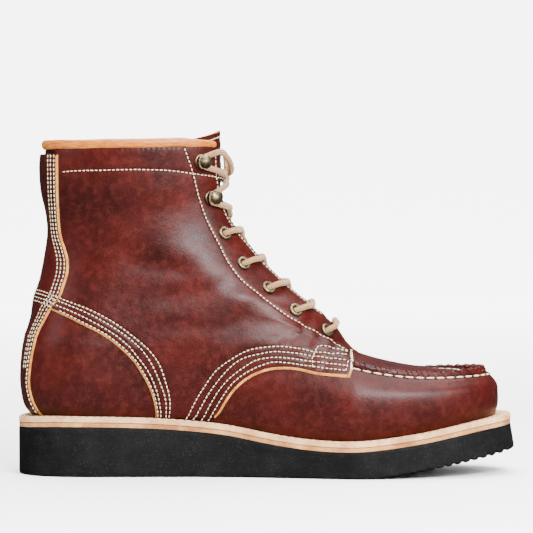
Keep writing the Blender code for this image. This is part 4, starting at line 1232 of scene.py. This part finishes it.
def build_backstay():
    """The strip down the back, with rows along its edges and the counter's rows over it."""
    edge = side_line(BACKSTAY_EDGE)
    edge = edge[(edge[:, 1] < COLLAR_LEVEL) & (edge[:, 1] > 0.02)]
    other = mirrored(edge, 1)[::-1]
    edges = (
        (edge, 0.0013, 1), (np.stack((edge[-1], other[0])), 0.0003, 0),
        (other, 0.0013, 1), (np.stack((other[-1], edge[0])), 0.0003, 0),
    )
    rows = []
    for number, inset in enumerate(BACKSTAY_SEAMS):
        tangent = np.gradient(last_point(edge[:, 0], edge[:, 1]), axis=0)
        across = np.cross(last_normal(edge[:, 0], edge[:, 1]), unit(tangent))
        step = 1e-4
        turn = (last_point(edge[:, 0] + step, edge[:, 1])
                - last_point(edge[:, 0], edge[:, 1])) / step
        width = np.linalg.norm(turn, axis=1)
        moved = edge.copy()
        moved[:, 0] += inset / 1000 / np.maximum(width, 0.12)
        room = moved[:, 0] < 0.494
        if number:
            room &= moved[:, 1] > 3
        kept = moved[room & (moved[:, 1] > 0.3) & (moved[:, 1] < 16.7)]
        if len(kept) > 3:
            rows += [kept, mirrored(kept, 1)]
    for crossing in HEEL_CROSSINGS:
        row = photo_line(crossing)
        rows += [row, mirrored(row, 1)]
    cut_panel("backstay_strip", edges, backstay_base, backstay_face,
              "backstay", [even(row, ROW_GRAIN) for row in rows])
    threads, holes = zip(*(seat_row(row, backstay_face) for row in rows))
    sew("backstay_stitching", threads, STITCH_LENGTH, STITCH_THICKNESS, THREAD)
    # The hole beads carry painted shade
    sew("backstay_stitch_holes", holes, HOLE_LENGTH, STITCH_THICKNESS, NEEDLE_HOLE_SHADE)


def build_moc_stitches():
    """Long stitches on both sides of the puckered seam, and short ones that cross it."""
    fine_around = np.linspace(-0.25, 0.25, 3000)
    line = last_point(fine_around, float(SEAM_LEVEL))
    kept = line[:, 0] > 0.662 * SOLE_LENGTH
    fine_around = fine_around[kept]
    spots = np.stack((fine_around, np.full(len(fine_around), float(SEAM_LEVEL))), axis=-1)
    fine = even(spots, SEAM_STITCH)
    long_rows, cross_rows, holes = [], [], []
    for off, height in ((THREAD_BELOW, 0.00030), (THREAD_ABOVE, 0.00012)):
        climb = (last_point(fine[:, 0], SEAM_LEVEL + 0.1) - last_point(fine[:, 0], 6.0)) / 0.1
        level = SEAM_LEVEL + off / np.linalg.norm(climb, axis=1)
        nodes = last_point(fine[:, 0], level) + last_normal(fine[:, 0], level) * height
        long_rows.append((nodes[1:] + nodes[:-1]) / 2)
        holes.append(nodes)
    sew("moc_seam_long_stitches", long_rows, 0.0052, 0.00105, THREAD)
    # The hole beads carry painted shade
    sew("moc_seam_holes", holes, 0.0013, 0.0010, NEEDLE_HOLE_SHADE)
    for place in np.linspace(0, 1, 2 * len(fine) - 1)[1:-1]:
        at = np.interp(place, np.linspace(0, 1, len(fine)), fine[:, 0])
        climb = (last_point(at, 6.1) - last_point(at, 6.0)) / 0.1
        reach = np.linspace(-0.0013, 0.0022, 4)
        level = SEAM_LEVEL + reach / np.linalg.norm(climb)
        spot = np.full(4, at) + np.linspace(-0.0004, 0.0004, 4)
        cross_rows.append(upper_skin(spot, level)
                          + last_normal(spot, level) * 0.00002)
    sew("moc_seam_cross_stitches", cross_rows, 0.0015, 0.0009, OXBLOOD)


def sweep(points, radius, sides=14, pull=None, closed_ends=True):
    """Points and faces of a round cord along a line, and its map's places. Pull gives each
    place its share of the radius."""
    points = np.asarray(points, float)
    tangent = unit(np.gradient(points, axis=0))
    normal = unit(np.cross(tangent[0], (0.13, 0.27, 0.95)))
    run = np.concatenate(([0], np.cumsum(np.linalg.norm(np.diff(points, axis=0), axis=1))))
    shares = np.ones(len(points)) if pull is None else pull
    rings, places = [], []
    angles = np.linspace(0, math.tau, sides, endpoint=False)
    for point, ahead, share, length in zip(points, tangent, shares, run):
        normal = normal - ahead * np.dot(normal, ahead)
        normal = normal / np.linalg.norm(normal)
        side = np.cross(ahead, normal)
        ring = np.cos(angles)[:, None] * normal + np.sin(angles)[:, None] * side
        rings.append(point + ring * radius * share)
        places.append(np.stack((np.full(sides, length), angles / math.tau), axis=-1))
    count = len(points)
    faces = grid_faces(count, sides, around=True)
    verts = np.concatenate(rings)
    unwrap = np.concatenate(places)
    if closed_ends:
        faces.append(list(range(sides))[::-1])
        faces.append([(count - 1) * sides + k for k in range(sides)])
    return verts, faces, unwrap


# The binding dips and thins over the last stretch before its ends, which are rounded off
BINDING_END = 0.030
BINDING_DIP = 0.0016
BINDING_THINNING = 0.17
BINDING_TIP = 0.0034


def build_binding():
    """The strip of natural leather rolled over the collar, stitched under its lower edge."""
    level = float(COLLAR_LEVEL)
    edge = float(facing_edge(level))
    around = edge + (1 - 2 * edge) * (1 - np.cos(np.linspace(0, math.pi, 220))) / 2
    normal = last_normal(around, level)
    flat = unit(normal * (1, 1, 0))
    thickness = LEATHER + QUARTER_FACE
    line = last_point(around, level) + flat * (thickness / 2 - LEATHER)
    line[:, 2] += CLEAR + BINDING_RADIUS - 0.0006
    line[:, 2] += 0.00012 * np.sin(np.linspace(0, 60, len(line)))
    span = np.concatenate(([0], np.cumsum(np.linalg.norm(np.diff(line, axis=0), axis=1))))
    near_end = ease(1 - np.minimum(span, span[-1] - span) / BINDING_END)
    line[:, 2] -= BINDING_DIP * near_end
    run = np.concatenate(([0], np.cumsum(np.linalg.norm(np.diff(line, axis=0), axis=1))))
    end = np.minimum(run, run[-1] - run)
    pull = np.sqrt(np.clip(1 - (1 - np.clip(end / BINDING_TIP, 0.0, 1)) ** 2, 0.02, 1))
    pull = pull * (1 - BINDING_THINNING * near_end)
    points, faces, places = sweep(line, BINDING_RADIUS, 20, pull)
    middle = np.repeat(line, 20, axis=0)
    off = points - middle
    off[:, 2] *= np.where(off[:, 2] < 0, 1.12, 0.98)
    side = np.repeat(flat, 20, axis=0)
    width = np.sum(off * side, axis=1, keepdims=True)
    off -= side * width * 0.10
    wrinkle = 1 + 0.035 * np.sin(places[:, :1] / 0.0031 + 2.0 * np.sin(places[:, :1] / 0.013))
    piece = add_mesh("collar_binding_roll", middle + off * wrinkle, faces, (ROLLED,),
                     ("collar_binding",))
    outward(piece)


# The tongue: its foot, how far the laces press it and let it rise, its peak and its seam
TONGUE_FOOT = 9.4
TONGUE_PRESSED = 0.0034
TONGUE_FORWARD = 0.0026
TONGUE_UNDER = 0.0034
TONGUE_LEATHER = 0.0020
TONGUE_PEAK = 0.62
TONGUE_SEAM = 0.93
TONGUE_SEAM_DROP = 0.34


def build_tongue():
    """The tongue: one piece of the upper's leather under both facings, stitched at its top."""
    top = COLLAR_LEVEL + TONGUE_RISE / (SHAFT_HEIGHT * 0.06)
    levels = np.linspace(TONGUE_FOOT, top, 110)
    share = ease((levels - THROAT_LEVEL) / (COLLAR_LEVEL - THROAT_LEVEL))
    half_width = TONGUE_HALF_WIDTH * (0.55 + 0.4 * share)
    reach = around_at(np.minimum(levels, COLLAR_LEVEL), half_width)
    across = np.linspace(-1, 1, 61)
    around = reach[:, None] * across
    level = np.broadcast_to(levels[:, None], around.shape)
    slope = np.abs(across) ** 1.3 * ease((level - 14) / (top - 14))
    level = level - TONGUE_PEAK * slope
    point = last_point(around, level)
    normal = last_normal(around, level)
    forward = TONGUE_FORWARD * ease((level - 12.5) / 3.5) * (1 - np.abs(across) ** 3)
    pressed = TONGUE_PRESSED * (1 - ease((level - 12.9) / 1.5)) * ease(level - TONGUE_FOOT)
    forward = forward - pressed
    outer = forward - TONGUE_UNDER - 0.0002 * np.cos(level * 9) * (1 - across ** 2)
    outer = outer - 0.0004 * (np.abs(across) > 0.985)
    skins = [point + normal * outer[..., None],
             point + normal * (forward - TONGUE_UNDER - TONGUE_LEATHER)[..., None]]
    rows, columns = around.shape
    faces = grid_faces(rows, columns)
    faces += [face[::-1] for face in grid_faces(rows, columns, rows * columns)]
    border = list(range(columns))
    border += [r * columns + columns - 1 for r in range(1, rows)]
    border += [(rows - 1) * columns + k for k in range(columns - 2, -1, -1)]
    border += [r * columns for r in range(rows - 2, 0, -1)]
    picks = [0] * len(faces)
    shift = rows * columns
    for one, two in zip(border, border[1:] + border[:1]):
        faces.append([one, two, two + shift, one + shift])
        picks.append(1)
    points = np.concatenate([skin.reshape(-1, 3) for skin in skins])
    piece = add_mesh("tongue_leather", points, faces, (OXBLOOD, RAW_EDGE),
                     ("tongue",), picks)
    outward(piece)
    edge_level = np.full(60, top - TONGUE_SEAM_DROP)
    edge_around = np.linspace(-TONGUE_SEAM, TONGUE_SEAM, 60) * reach[-1]
    spots = np.stack((edge_around, edge_level), axis=-1)
    sides = np.linspace(12.0, top - TONGUE_SEAM_DROP, 80)
    rows = [spots]
    for side in (-1, 1):
        wide = np.interp(sides, levels, reach)
        rows.append(np.stack((side * TONGUE_SEAM * wide, sides), axis=-1))
    threads = []
    for row in rows:
        fine = even(row, STITCH_PITCH)
        wide = np.abs(fine[:, 0]) / np.interp(fine[:, 1], levels, reach)
        fine[:, 1] -= TONGUE_PEAK * wide ** 1.3 * ease((fine[:, 1] - 14) / (top - 14))
        forward = TONGUE_FORWARD * ease((fine[:, 1] - 12.5) / 3.5) * (1 - np.minimum(wide, 1) ** 3)
        height = (forward - 0.0033)[:, None]
        threads.append(last_point(fine[:, 0], fine[:, 1])
                       + last_normal(fine[:, 0], fine[:, 1]) * height)
    sew("tongue_stitching", threads, 0.0021, 0.0007, THREAD)


def sole_places(count=420):
    """Places round the sole, close together at both ends and where the ribs are."""
    heel = 0.14 * (1 - np.cos(np.linspace(0, math.pi / 2, 40)))
    middle = np.linspace(0.14, 0.75, count // 4)[1:]
    ribs = np.linspace(0.75, 0.985, 130)[1:]
    tip = 1 - 0.015 * np.cos(np.linspace(0, math.pi / 2, 14))[1:]
    shares = np.concatenate((heel, middle, ribs, tip))
    half = np.arccos(2 * shares[::-1] - 1) / math.tau
    return np.concatenate((half, 1 - half[-2:0:-1]))


def cap_rows(loop_start, count):
    """Faces that close a loop, from its lateral side straight across to its medial side."""
    faces = []
    for k in range(count // 2):
        left, right = k + 1, (count - k - 1) % count
        corners = [k, left, right] if k == 0 else [k, left, right, count - k]
        corners = [loop_start + c % count for c in corners]
        faces.append(list(dict.fromkeys(corners)))
    return [face for face in faces if len(face) > 2]


def layer_height(low, high, share, lift=0.0, drop=0.0):
    """The height, along the sole, of a ring that lies a share of the way up between two."""
    def height(x):
        return (low(x) + lift) * (1 - share) + (high(x) - drop) * share
    return height


def midsole_top(x):
    return midsole_bottom(x) + MIDSOLE_THICKNESS + CLEAR


def welt_foot(x):
    return welt_bottom(x) + 0.0001


def build_sole():
    """The black wedge, the tan midsole and the pale welt, each trimmed flush on one wheel."""
    around = sole_places()
    count = len(around)
    rings = []
    for inset, lift in ((0.0030, 0.0), (0.0012, 0.0), (0.0005, 0.0003), (0.0001, 0.0008)):
        rings.append(sole_point(around, inset, layer_height(ribbed_bottom, sole_top, 0.0, lift)))
    for share in np.linspace(0.02, 0.98, 14):
        height = layer_height(ribbed_bottom, sole_top, share, 0.0012, 0.0003)
        rings.append(sole_point(around, 0.0, height, TIP_SLANT * share))
    rings.append(sole_point(around, 0.0002, sole_top, TIP_SLANT))
    waves = 0.00007 * np.sin(around * 410) + 0.00005 * np.sin(around * 233 + 1)
    for ring in rings[4:-1]:
        centre = ring.mean(axis=0)
        ring += unit((ring - centre) * (1, 1, 0)) * waves[:, None]
    faces = grid_faces(len(rings), count, around=True)
    faces += cap_rows(0, count) + cap_rows((len(rings) - 1) * count, count)
    piece = add_mesh("rubber_wedge_sole", np.concatenate(rings), faces, (RUBBER,),
                     ("outsole",))
    outward(piece, 35)

    def rough(ring, seed):
        chance = np.random.default_rng(seed)
        bumps = chance.normal(0, 0.00006, count)
        bumps = (np.roll(bumps, 1) + bumps + np.roll(bumps, -1)) / 1.7
        centre = ring.mean(axis=0)
        return ring + unit((ring - centre) * (1, 1, 0)) * bumps[:, None]

    rings = [sole_point(around, 0.0004, midsole_bottom, TIP_SLANT)]
    for index, share in enumerate(np.linspace(0.08, 0.92, 5)):
        height = layer_height(midsole_bottom, midsole_top, share)
        rings.append(rough(sole_point(around, 0.0001, height, TIP_SLANT), 11 + index))
    rings.append(sole_point(around, 0.0005, midsole_top, TIP_SLANT))
    faces = grid_faces(len(rings), count, around=True)
    faces += cap_rows(0, count) + cap_rows((len(rings) - 1) * count, count)
    piece = add_mesh("midsole_sheet", np.concatenate(rings), faces, (MIDSOLE_LEATHER,),
                     ("midsole",))
    outward(piece, 35)

    rings = [sole_point(around, 0.0007, welt_foot, TIP_SLANT)]
    for index, share in enumerate(np.linspace(0.1, 0.86, 5)):
        height = layer_height(welt_foot, welt_top, share)
        rings.append(rough(sole_point(around, -0.0001, height, TIP_SLANT), 31 + index))
    rings.append(sole_point(around, 0.0005, welt_top, TIP_SLANT))
    for inset, depth in ((0.0016, 0.0), (0.0024, 0.0), (WELT_SEAM_INSET, 0.0005), (0.0034, 0.0),
                         (0.0060, 0.0), (WELT_STRIP, 0.0)):
        height = layer_height(welt_foot, welt_top, 1.0, drop=depth)
        rings.append(sole_point(around, inset, height, TIP_SLANT))
    rings.append(sole_point(around, WELT_STRIP, welt_foot, TIP_SLANT))
    faces = grid_faces(len(rings), count, around=True)
    base = (len(rings) - 1) * count
    for k in range(count):
        after = (k + 1) % count
        faces.append([base + k, base + after, after, k])
    piece = add_mesh("welt_strip", np.concatenate(rings), faces, (WELT_LEATHER,),
                     ("welt",))
    outward(piece, 35)
    height = layer_height(welt_foot, welt_top, 1.0, drop=0.0001)
    line = sole_point(np.linspace(0, 1, 1200), WELT_SEAM_INSET, height, TIP_SLANT)
    fine = spaced(line, WELT_PITCH)
    between = (fine[1:] + fine[:-1]) / 2
    sew("welt_stitching", [between], 0.0037, 0.0009, THREAD)


def frame_at(place):
    """A place's own axes: ahead, up the boot and out of the leather."""
    around, level = place
    out = last_normal(around, level)
    ahead = unit(np.array((1.0, 0, 0)) - out * out[0])
    return ahead, np.cross(out, ahead), out


def revolve(profile, foot, axes, sides=40, closed=False):
    """Points and faces of a turned piece, from pairs of radius and height."""
    ahead, side, out = axes
    angles = np.linspace(0, math.tau, sides, endpoint=False)
    ring = np.cos(angles)[:, None] * ahead + np.sin(angles)[:, None] * side
    points = np.concatenate([foot + ring * radius + out * height for radius, height in profile])
    faces = grid_faces(len(profile), sides, around=True)
    if closed:
        base = (len(profile) - 1) * sides
        faces += [[base + k, base + (k + 1) % sides, (k + 1) % sides, k] for k in range(sides)]
    return points, faces


EYELET_PLACES = on_side(EYELETS)
HOOK_PLACES = on_side(HOOKS)


def build_eyelets():
    """Rolled brass eyelets, each with a barrel that goes through the leather."""
    profile = ((EYELET_HOLE, -0.0012), (EYELET_HOLE, 0.0003), (0.0025, 0.0009), (0.0029, 0.00125),
               (0.0035, 0.0013), (0.0040, 0.00105), (0.0044, 0.0006), (EYELET_RADIUS, 0.0001),
               (0.0043, -0.0003), (0.0036, -0.0004), (0.0030, -0.0006), (0.0028, -0.0012))
    for number, spot in enumerate(EYELET_PLACES, 1):
        for side, word in ((-1, "lateral"), (1, "medial")):
            place = mirrored(spot, side)
            foot = last_point(*place) + last_normal(*place) * (QUARTER_FACE + 0.0001)
            points, faces = revolve(profile, foot, frame_at(place), closed=True)
            name = f"eyelet_{number}_{word}"
            piece = add_mesh("brass_" + name, points, faces, (BRASS,), (name,))
            outward(piece, 60)


def build_hooks():
    """Brass speed hooks: a cupped ring riveted to the leather, a waist and a domed head."""
    ring = ((0.0004, -0.0003), (HOOK_BASE_RADIUS - 0.0002, -0.0003), (HOOK_BASE_RADIUS, 0.0003),
            (HOOK_BASE_RADIUS - 0.0003, 0.0009), (HOOK_BASE_RADIUS - 0.0008, 0.0010),
            (HOOK_BASE_RADIUS - 0.0013, 0.0006), (0.0022, 0.0005), (0.0004, 0.0005))
    top = HOOK_HEIGHT
    head = ((0.00005, 0.0003), (HOOK_NECK_RADIUS + 0.0004, 0.0003), (HOOK_NECK_RADIUS, 0.0012),
            (HOOK_NECK_RADIUS, top - 0.0024), (0.0020, top - 0.0019), (0.0034, top - 0.0016),
            (HOOK_HEAD_RADIUS, top - 0.0012), (HOOK_HEAD_RADIUS, top - 0.0008),
            (0.0040, top - 0.0003), (0.0035, top + 0.0003), (0.0028, top + 0.0008),
            (0.0019, top + 0.0012), (0.0010, top + 0.0014), (0.00005, top + 0.0015))
    for number, spot in enumerate(HOOK_PLACES, 1):
        for side, word in ((-1, "lateral"), (1, "medial")):
            place = mirrored(spot, side)
            foot = last_point(*place) + last_normal(*place) * (QUARTER_FACE + 0.0003)
            first, first_faces = revolve(ring, foot, frame_at(place), closed=True)
            second, second_faces = revolve(head, foot, frame_at(place))
            sides = 40
            last = (len(head) - 1) * sides
            second_faces.append(list(range(sides))[::-1])
            second_faces.append([last + k for k in range(sides)])
            faces = first_faces + [[v + len(first) for v in f] for f in second_faces]
            name = f"lace_hook_{number}_{word}"
            piece = add_mesh("brass_" + name, np.concatenate((first, second)), faces, (BRASS,),
                             (name,))
            outward(piece, 60)


def lace_piece(name, strands, stands_for):
    """Strands of the lace that stand for one crossing."""
    points, faces, places = [], [], []
    offset = 0
    for strand in strands:
        fine = spaced(smooth_line(strand, 10), 0.0008)
        kinds = sweep(fine, LACE_RADIUS)
        points.append(kinds[0])
        faces += [[v + offset for v in face] for face in kinds[1]]
        places.append(kinds[2] * (1 / BRAID_REPEAT, 1.0))
        offset += len(kinds[0])
    add_mesh(name, np.concatenate(points), faces, (CORD,), (stands_for,),
             unwrap=np.concatenate(places))


def over(place, height):
    """A point a height above the last at one place."""
    around, level = place
    return last_point(around, level) + last_normal(around, level) * height


def across_gap(level, share, height):
    """A place in the gap: share runs from the lateral edge at -1 to the medial one at 1."""
    reach = facing_edge(level) * -share
    return over((float(reach), level), height)


def hook_round(place, start, end):
    """The lace's way round a hook's waist, from below to above, behind it."""
    ahead, across, out = frame_at(place)
    up = across if across[2] > 0 else -across
    foot = last_point(*place) + last_normal(*place) * (QUARTER_FACE + 0.0003)
    middle = foot + out * HOOK_WAIST
    reach = HOOK_NECK_RADIUS + 0.9 * LACE_RADIUS
    turn = np.linspace(start, end, 7)
    back = [0.45 if math.cos(a) < 0 else 1.0 for a in turn]
    return [middle + reach * (b * math.cos(a) * ahead + math.sin(a) * up)
            for a, b in zip(turn, back)]


def build_laces():
    """The lace: a bar at the bottom, crossings up the eyelets, then round the hooks."""
    skin = QUARTER_FACE + LACE_RADIUS
    eyelets = [tuple(spot) for spot in EYELET_PLACES]
    hooks = [tuple(spot) for spot in HOOK_PLACES]

    def into_eyelet(number, side):
        """From inside the eyelet's hole out over its rim and over the facing's edge."""
        around, level = eyelets[number]
        brow_level = BROWS[number]
        edge = float(facing_edge(brow_level))

        def on_the_way(share, height):
            spot = (around + (edge * 0.98 - around) * share, level + (brow_level - level) * share)
            return over(mirrored(spot, side), height)

        hole = mirrored((around, level), side)
        return [over(hole, -0.0010), over(hole, 0.0014), on_the_way(0.25, skin + 0.0014),
                on_the_way(0.55, skin + 0.0008), on_the_way(0.82, skin + 0.0002)]

    bar = into_eyelet(0, -1) + [across_gap(BROWS[0], -0.9, skin), across_gap(BROWS[0], 0.0, skin)]
    bar += [across_gap(BROWS[0], 0.9, skin)] + into_eyelet(0, 1)[::-1]
    lace_piece("lace_bottom_bar", [bar], "lace_cross_1")
    for number in range(1, 5):
        level = BROWS[number]
        drop = level - BROWS[number - 1]
        strands = []
        for side in (-1, 1):
            lift = -0.0016 if side < 0 else -0.0050
            strands.append(into_eyelet(number, side) + [
                across_gap(level, 0.80 * side, 0.0024),
                across_gap(level - 0.16 * drop, 0.50 * side, -0.0004),
                across_gap(level - 0.34 * drop, 0.10 * side, lift),
                across_gap(level - 0.56 * drop, -0.60 * side, -0.0044),
                across_gap(level - 0.72 * drop, -1.25 * side, -0.0042)])
        lace_piece(f"lace_crossing_{number + 1}", strands, f"lace_cross_{number + 1}")

    def to_hook(number, side):
        """From the facing's edge below a hook to its waist and round behind it."""
        around, level = hooks[number]
        place = mirrored((around, level), side)
        edge = float(facing_edge(level))
        brow = mirrored((edge * 1.02, level - (0.46, 0.62)[number]), side)
        return [over(brow, skin + 0.0003)] + hook_round(place, -1.45, -4.7)

    def from_hook(number, side):
        """Over the facing's edge above a hook."""
        level = hooks[number][1]
        brow = mirrored((float(facing_edge(level)), level + 0.52), side)
        return over(brow, skin + 0.0016)

    strands = []
    for side in (-1, 1):
        lift = -0.0004 if side < 0 else -0.0036
        strands.append([
            across_gap(13.28, -1.2 * side, -0.0030), across_gap(13.38, -0.6 * side, -0.0022),
            across_gap(13.50, 0.0, lift), across_gap(13.64, 0.6 * side, 0.0008)]
            + to_hook(0, side))
    lace_piece("lace_to_lower_hooks", strands, "lace_cross_6")
    strands = []
    top = hooks[1][1]
    for side in (-1, 1):
        level = hooks[0][1]
        lift = 0.0026 if side < 0 else -0.0006
        start = hook_round(mirrored(hooks[0], side), -4.7, -4.9)
        strands.append(start[-1:] + [
            from_hook(0, side),
            across_gap(level + 0.72, 0.5 * side, 0.0024),
            across_gap(level + 0.86, 0.0, lift),
            across_gap(level + 1.00, -0.5 * side, 0.0020)] + to_hook(1, -side))
        start = hook_round(mirrored(hooks[1], side), -4.7, -4.9)
        lift = 0.0 if side < 0 else -0.0032
        strands.append(start[-1:] + [
            over(mirrored((0.078, top + 0.56), side), skin + 0.0024),
            across_gap(top + 0.42, 0.92 * side, 0.0050),
            across_gap(top - 0.04, 0.45 * side, 0.0054 + 0.7 * lift),
            across_gap(top - 0.54, 0.05 * side, 0.0056 + lift),
            across_gap(top - 0.76, -0.25 * side, 0.0036 + lift),
            across_gap(top - 0.86, -0.55 * side, 0.0006 + 0.5 * lift),
            across_gap(top - 0.90, -0.75 * side, -0.0012)])
    lace_piece("lace_over_upper_hooks", strands, "lace_cross_7")


# The studio's sweep: where the floor starts to bend up, how wide the bend is, and its ends
SWEEP_START = 2.9
SWEEP_BEND = 0.9
SWEEP_TOP = 4.0
FLOOR_FRONT = -4.0
FLOOR_HALF_WIDTH = 5.0
BACKDROP_GLOW = 4.3
# Soft boxes: place, aim, height, power in watts and width for each unit of height
SOFT_BOXES = {
    "top_box": ((0.1, 0.1, 1.9), (0.0, 0.1, 0.0), 1.8, 175, 1.4),
    "key_box": ((0.45, -1.3, 0.9), (0.05, 0, 0.08), 0.44, 72, 1.5),
    "toe_box": ((1.1, -1.0, 0.7), (0.12, 0, 0.04), 0.7, 26, 1.0),
    "left_box": ((-1.4, -0.7, 0.8), (0, 0, 0.12), 0.6, 10, 1.0),
}


def build_studio():
    """A pale floor that sweeps up behind the boot, soft boxes and the camera."""
    profile = [(FLOOR_FRONT, 0.0), (SWEEP_START, 0.0)]
    for angle in np.linspace(0, math.pi / 2, 16)[1:]:
        profile.append((SWEEP_START + SWEEP_BEND * math.sin(angle),
                        SWEEP_BEND * (1 - math.cos(angle))))
    profile.append((SWEEP_START + SWEEP_BEND, SWEEP_TOP))
    points = [(x, y, z) for y, z in profile for x in (-FLOOR_HALF_WIDTH, FLOOR_HALF_WIDTH)]
    faces = [[2 * k, 2 * k + 1, 2 * k + 3, 2 * k + 2] for k in range(len(profile) - 1)]
    data = bpy.data.meshes.new("studio_floor")
    data.from_pydata(points, [], faces)
    data.shade_smooth()
    material, tree, shader, place = new_finish("pale_studio_floor")
    back = add_node(tree, "ShaderNodeSeparateXYZ", {"Vector": place}).outputs["Y"]
    near = add_node(tree, RANGE, {"Value": back, "From Min": -1.0, "From Max": -0.42})
    tone = add_node(tree, MIX, {0: near, 6: "6a6a6a", 7: "f6f6f6"}, data_type="RGBA")
    glow = add_node(tree, RANGE, {
        "Value": back, "From Min": 0.5, "From Max": 2.0, "To Max": BACKDROP_GLOW})
    set_inputs(tree, shader, {
        "Base Color": tone.outputs[COLOUR], "Roughness": 0.9, "Emission Strength": glow,
        "Emission Color": "ffffff"})
    data.materials.append(material)
    floor = bpy.data.objects.new("studio_floor", data)
    bpy.context.scene.collection.objects.link(floor)
    # The leather mirrors the soft boxes alone, as in a shot whose backdrop was lit apart.
    floor.visible_glossy = False

    for name, (place, aim, size, power, wide) in SOFT_BOXES.items():
        light = bpy.data.lights.new(name, "AREA")
        light.shape = "RECTANGLE"
        light.size = size * wide
        light.size_y = size
        light.energy = power
        lamp = bpy.data.objects.new(name, light)
        bpy.context.scene.collection.objects.link(lamp)
        lamp.location = place
        lamp.rotation_euler = (Vector(aim) - Vector(place)).to_track_quat("-Z", "Y").to_euler()

    world = bpy.data.worlds.new("pale_studio")
    world.use_nodes = True
    set_inputs(world.node_tree, world.node_tree.nodes["Background"],
               {"Color": "f6f6f6", "Strength": 0.14})
    bpy.context.scene.world = world
    lens = bpy.data.cameras.new("photo_view")
    lens.angle = 2 * math.atan(HALF_VIEW / CAMERA_BACK)
    camera = bpy.data.objects.new("photo_view", lens)
    bpy.context.scene.collection.objects.link(camera)
    camera.location = (CAMERA_SIDE, -CAMERA_BACK, CAMERA_HEIGHT)
    ahead = Vector((CAMERA_SIDE, 0, AIM_HEIGHT)) - camera.location
    camera.rotation_euler = ahead.to_track_quat("-Z", "Y").to_euler()
    bpy.context.scene.camera = camera


build_studio()
build_upper()
build_quarters()
build_backstay()
build_moc_stitches()
build_tongue()
build_binding()
build_sole()
build_eyelets()
build_hooks()
build_laces()
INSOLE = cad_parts["insole"]
INSOLE.data.materials.clear()
INSOLE.data.materials.append(INSOLE_LEATHER)
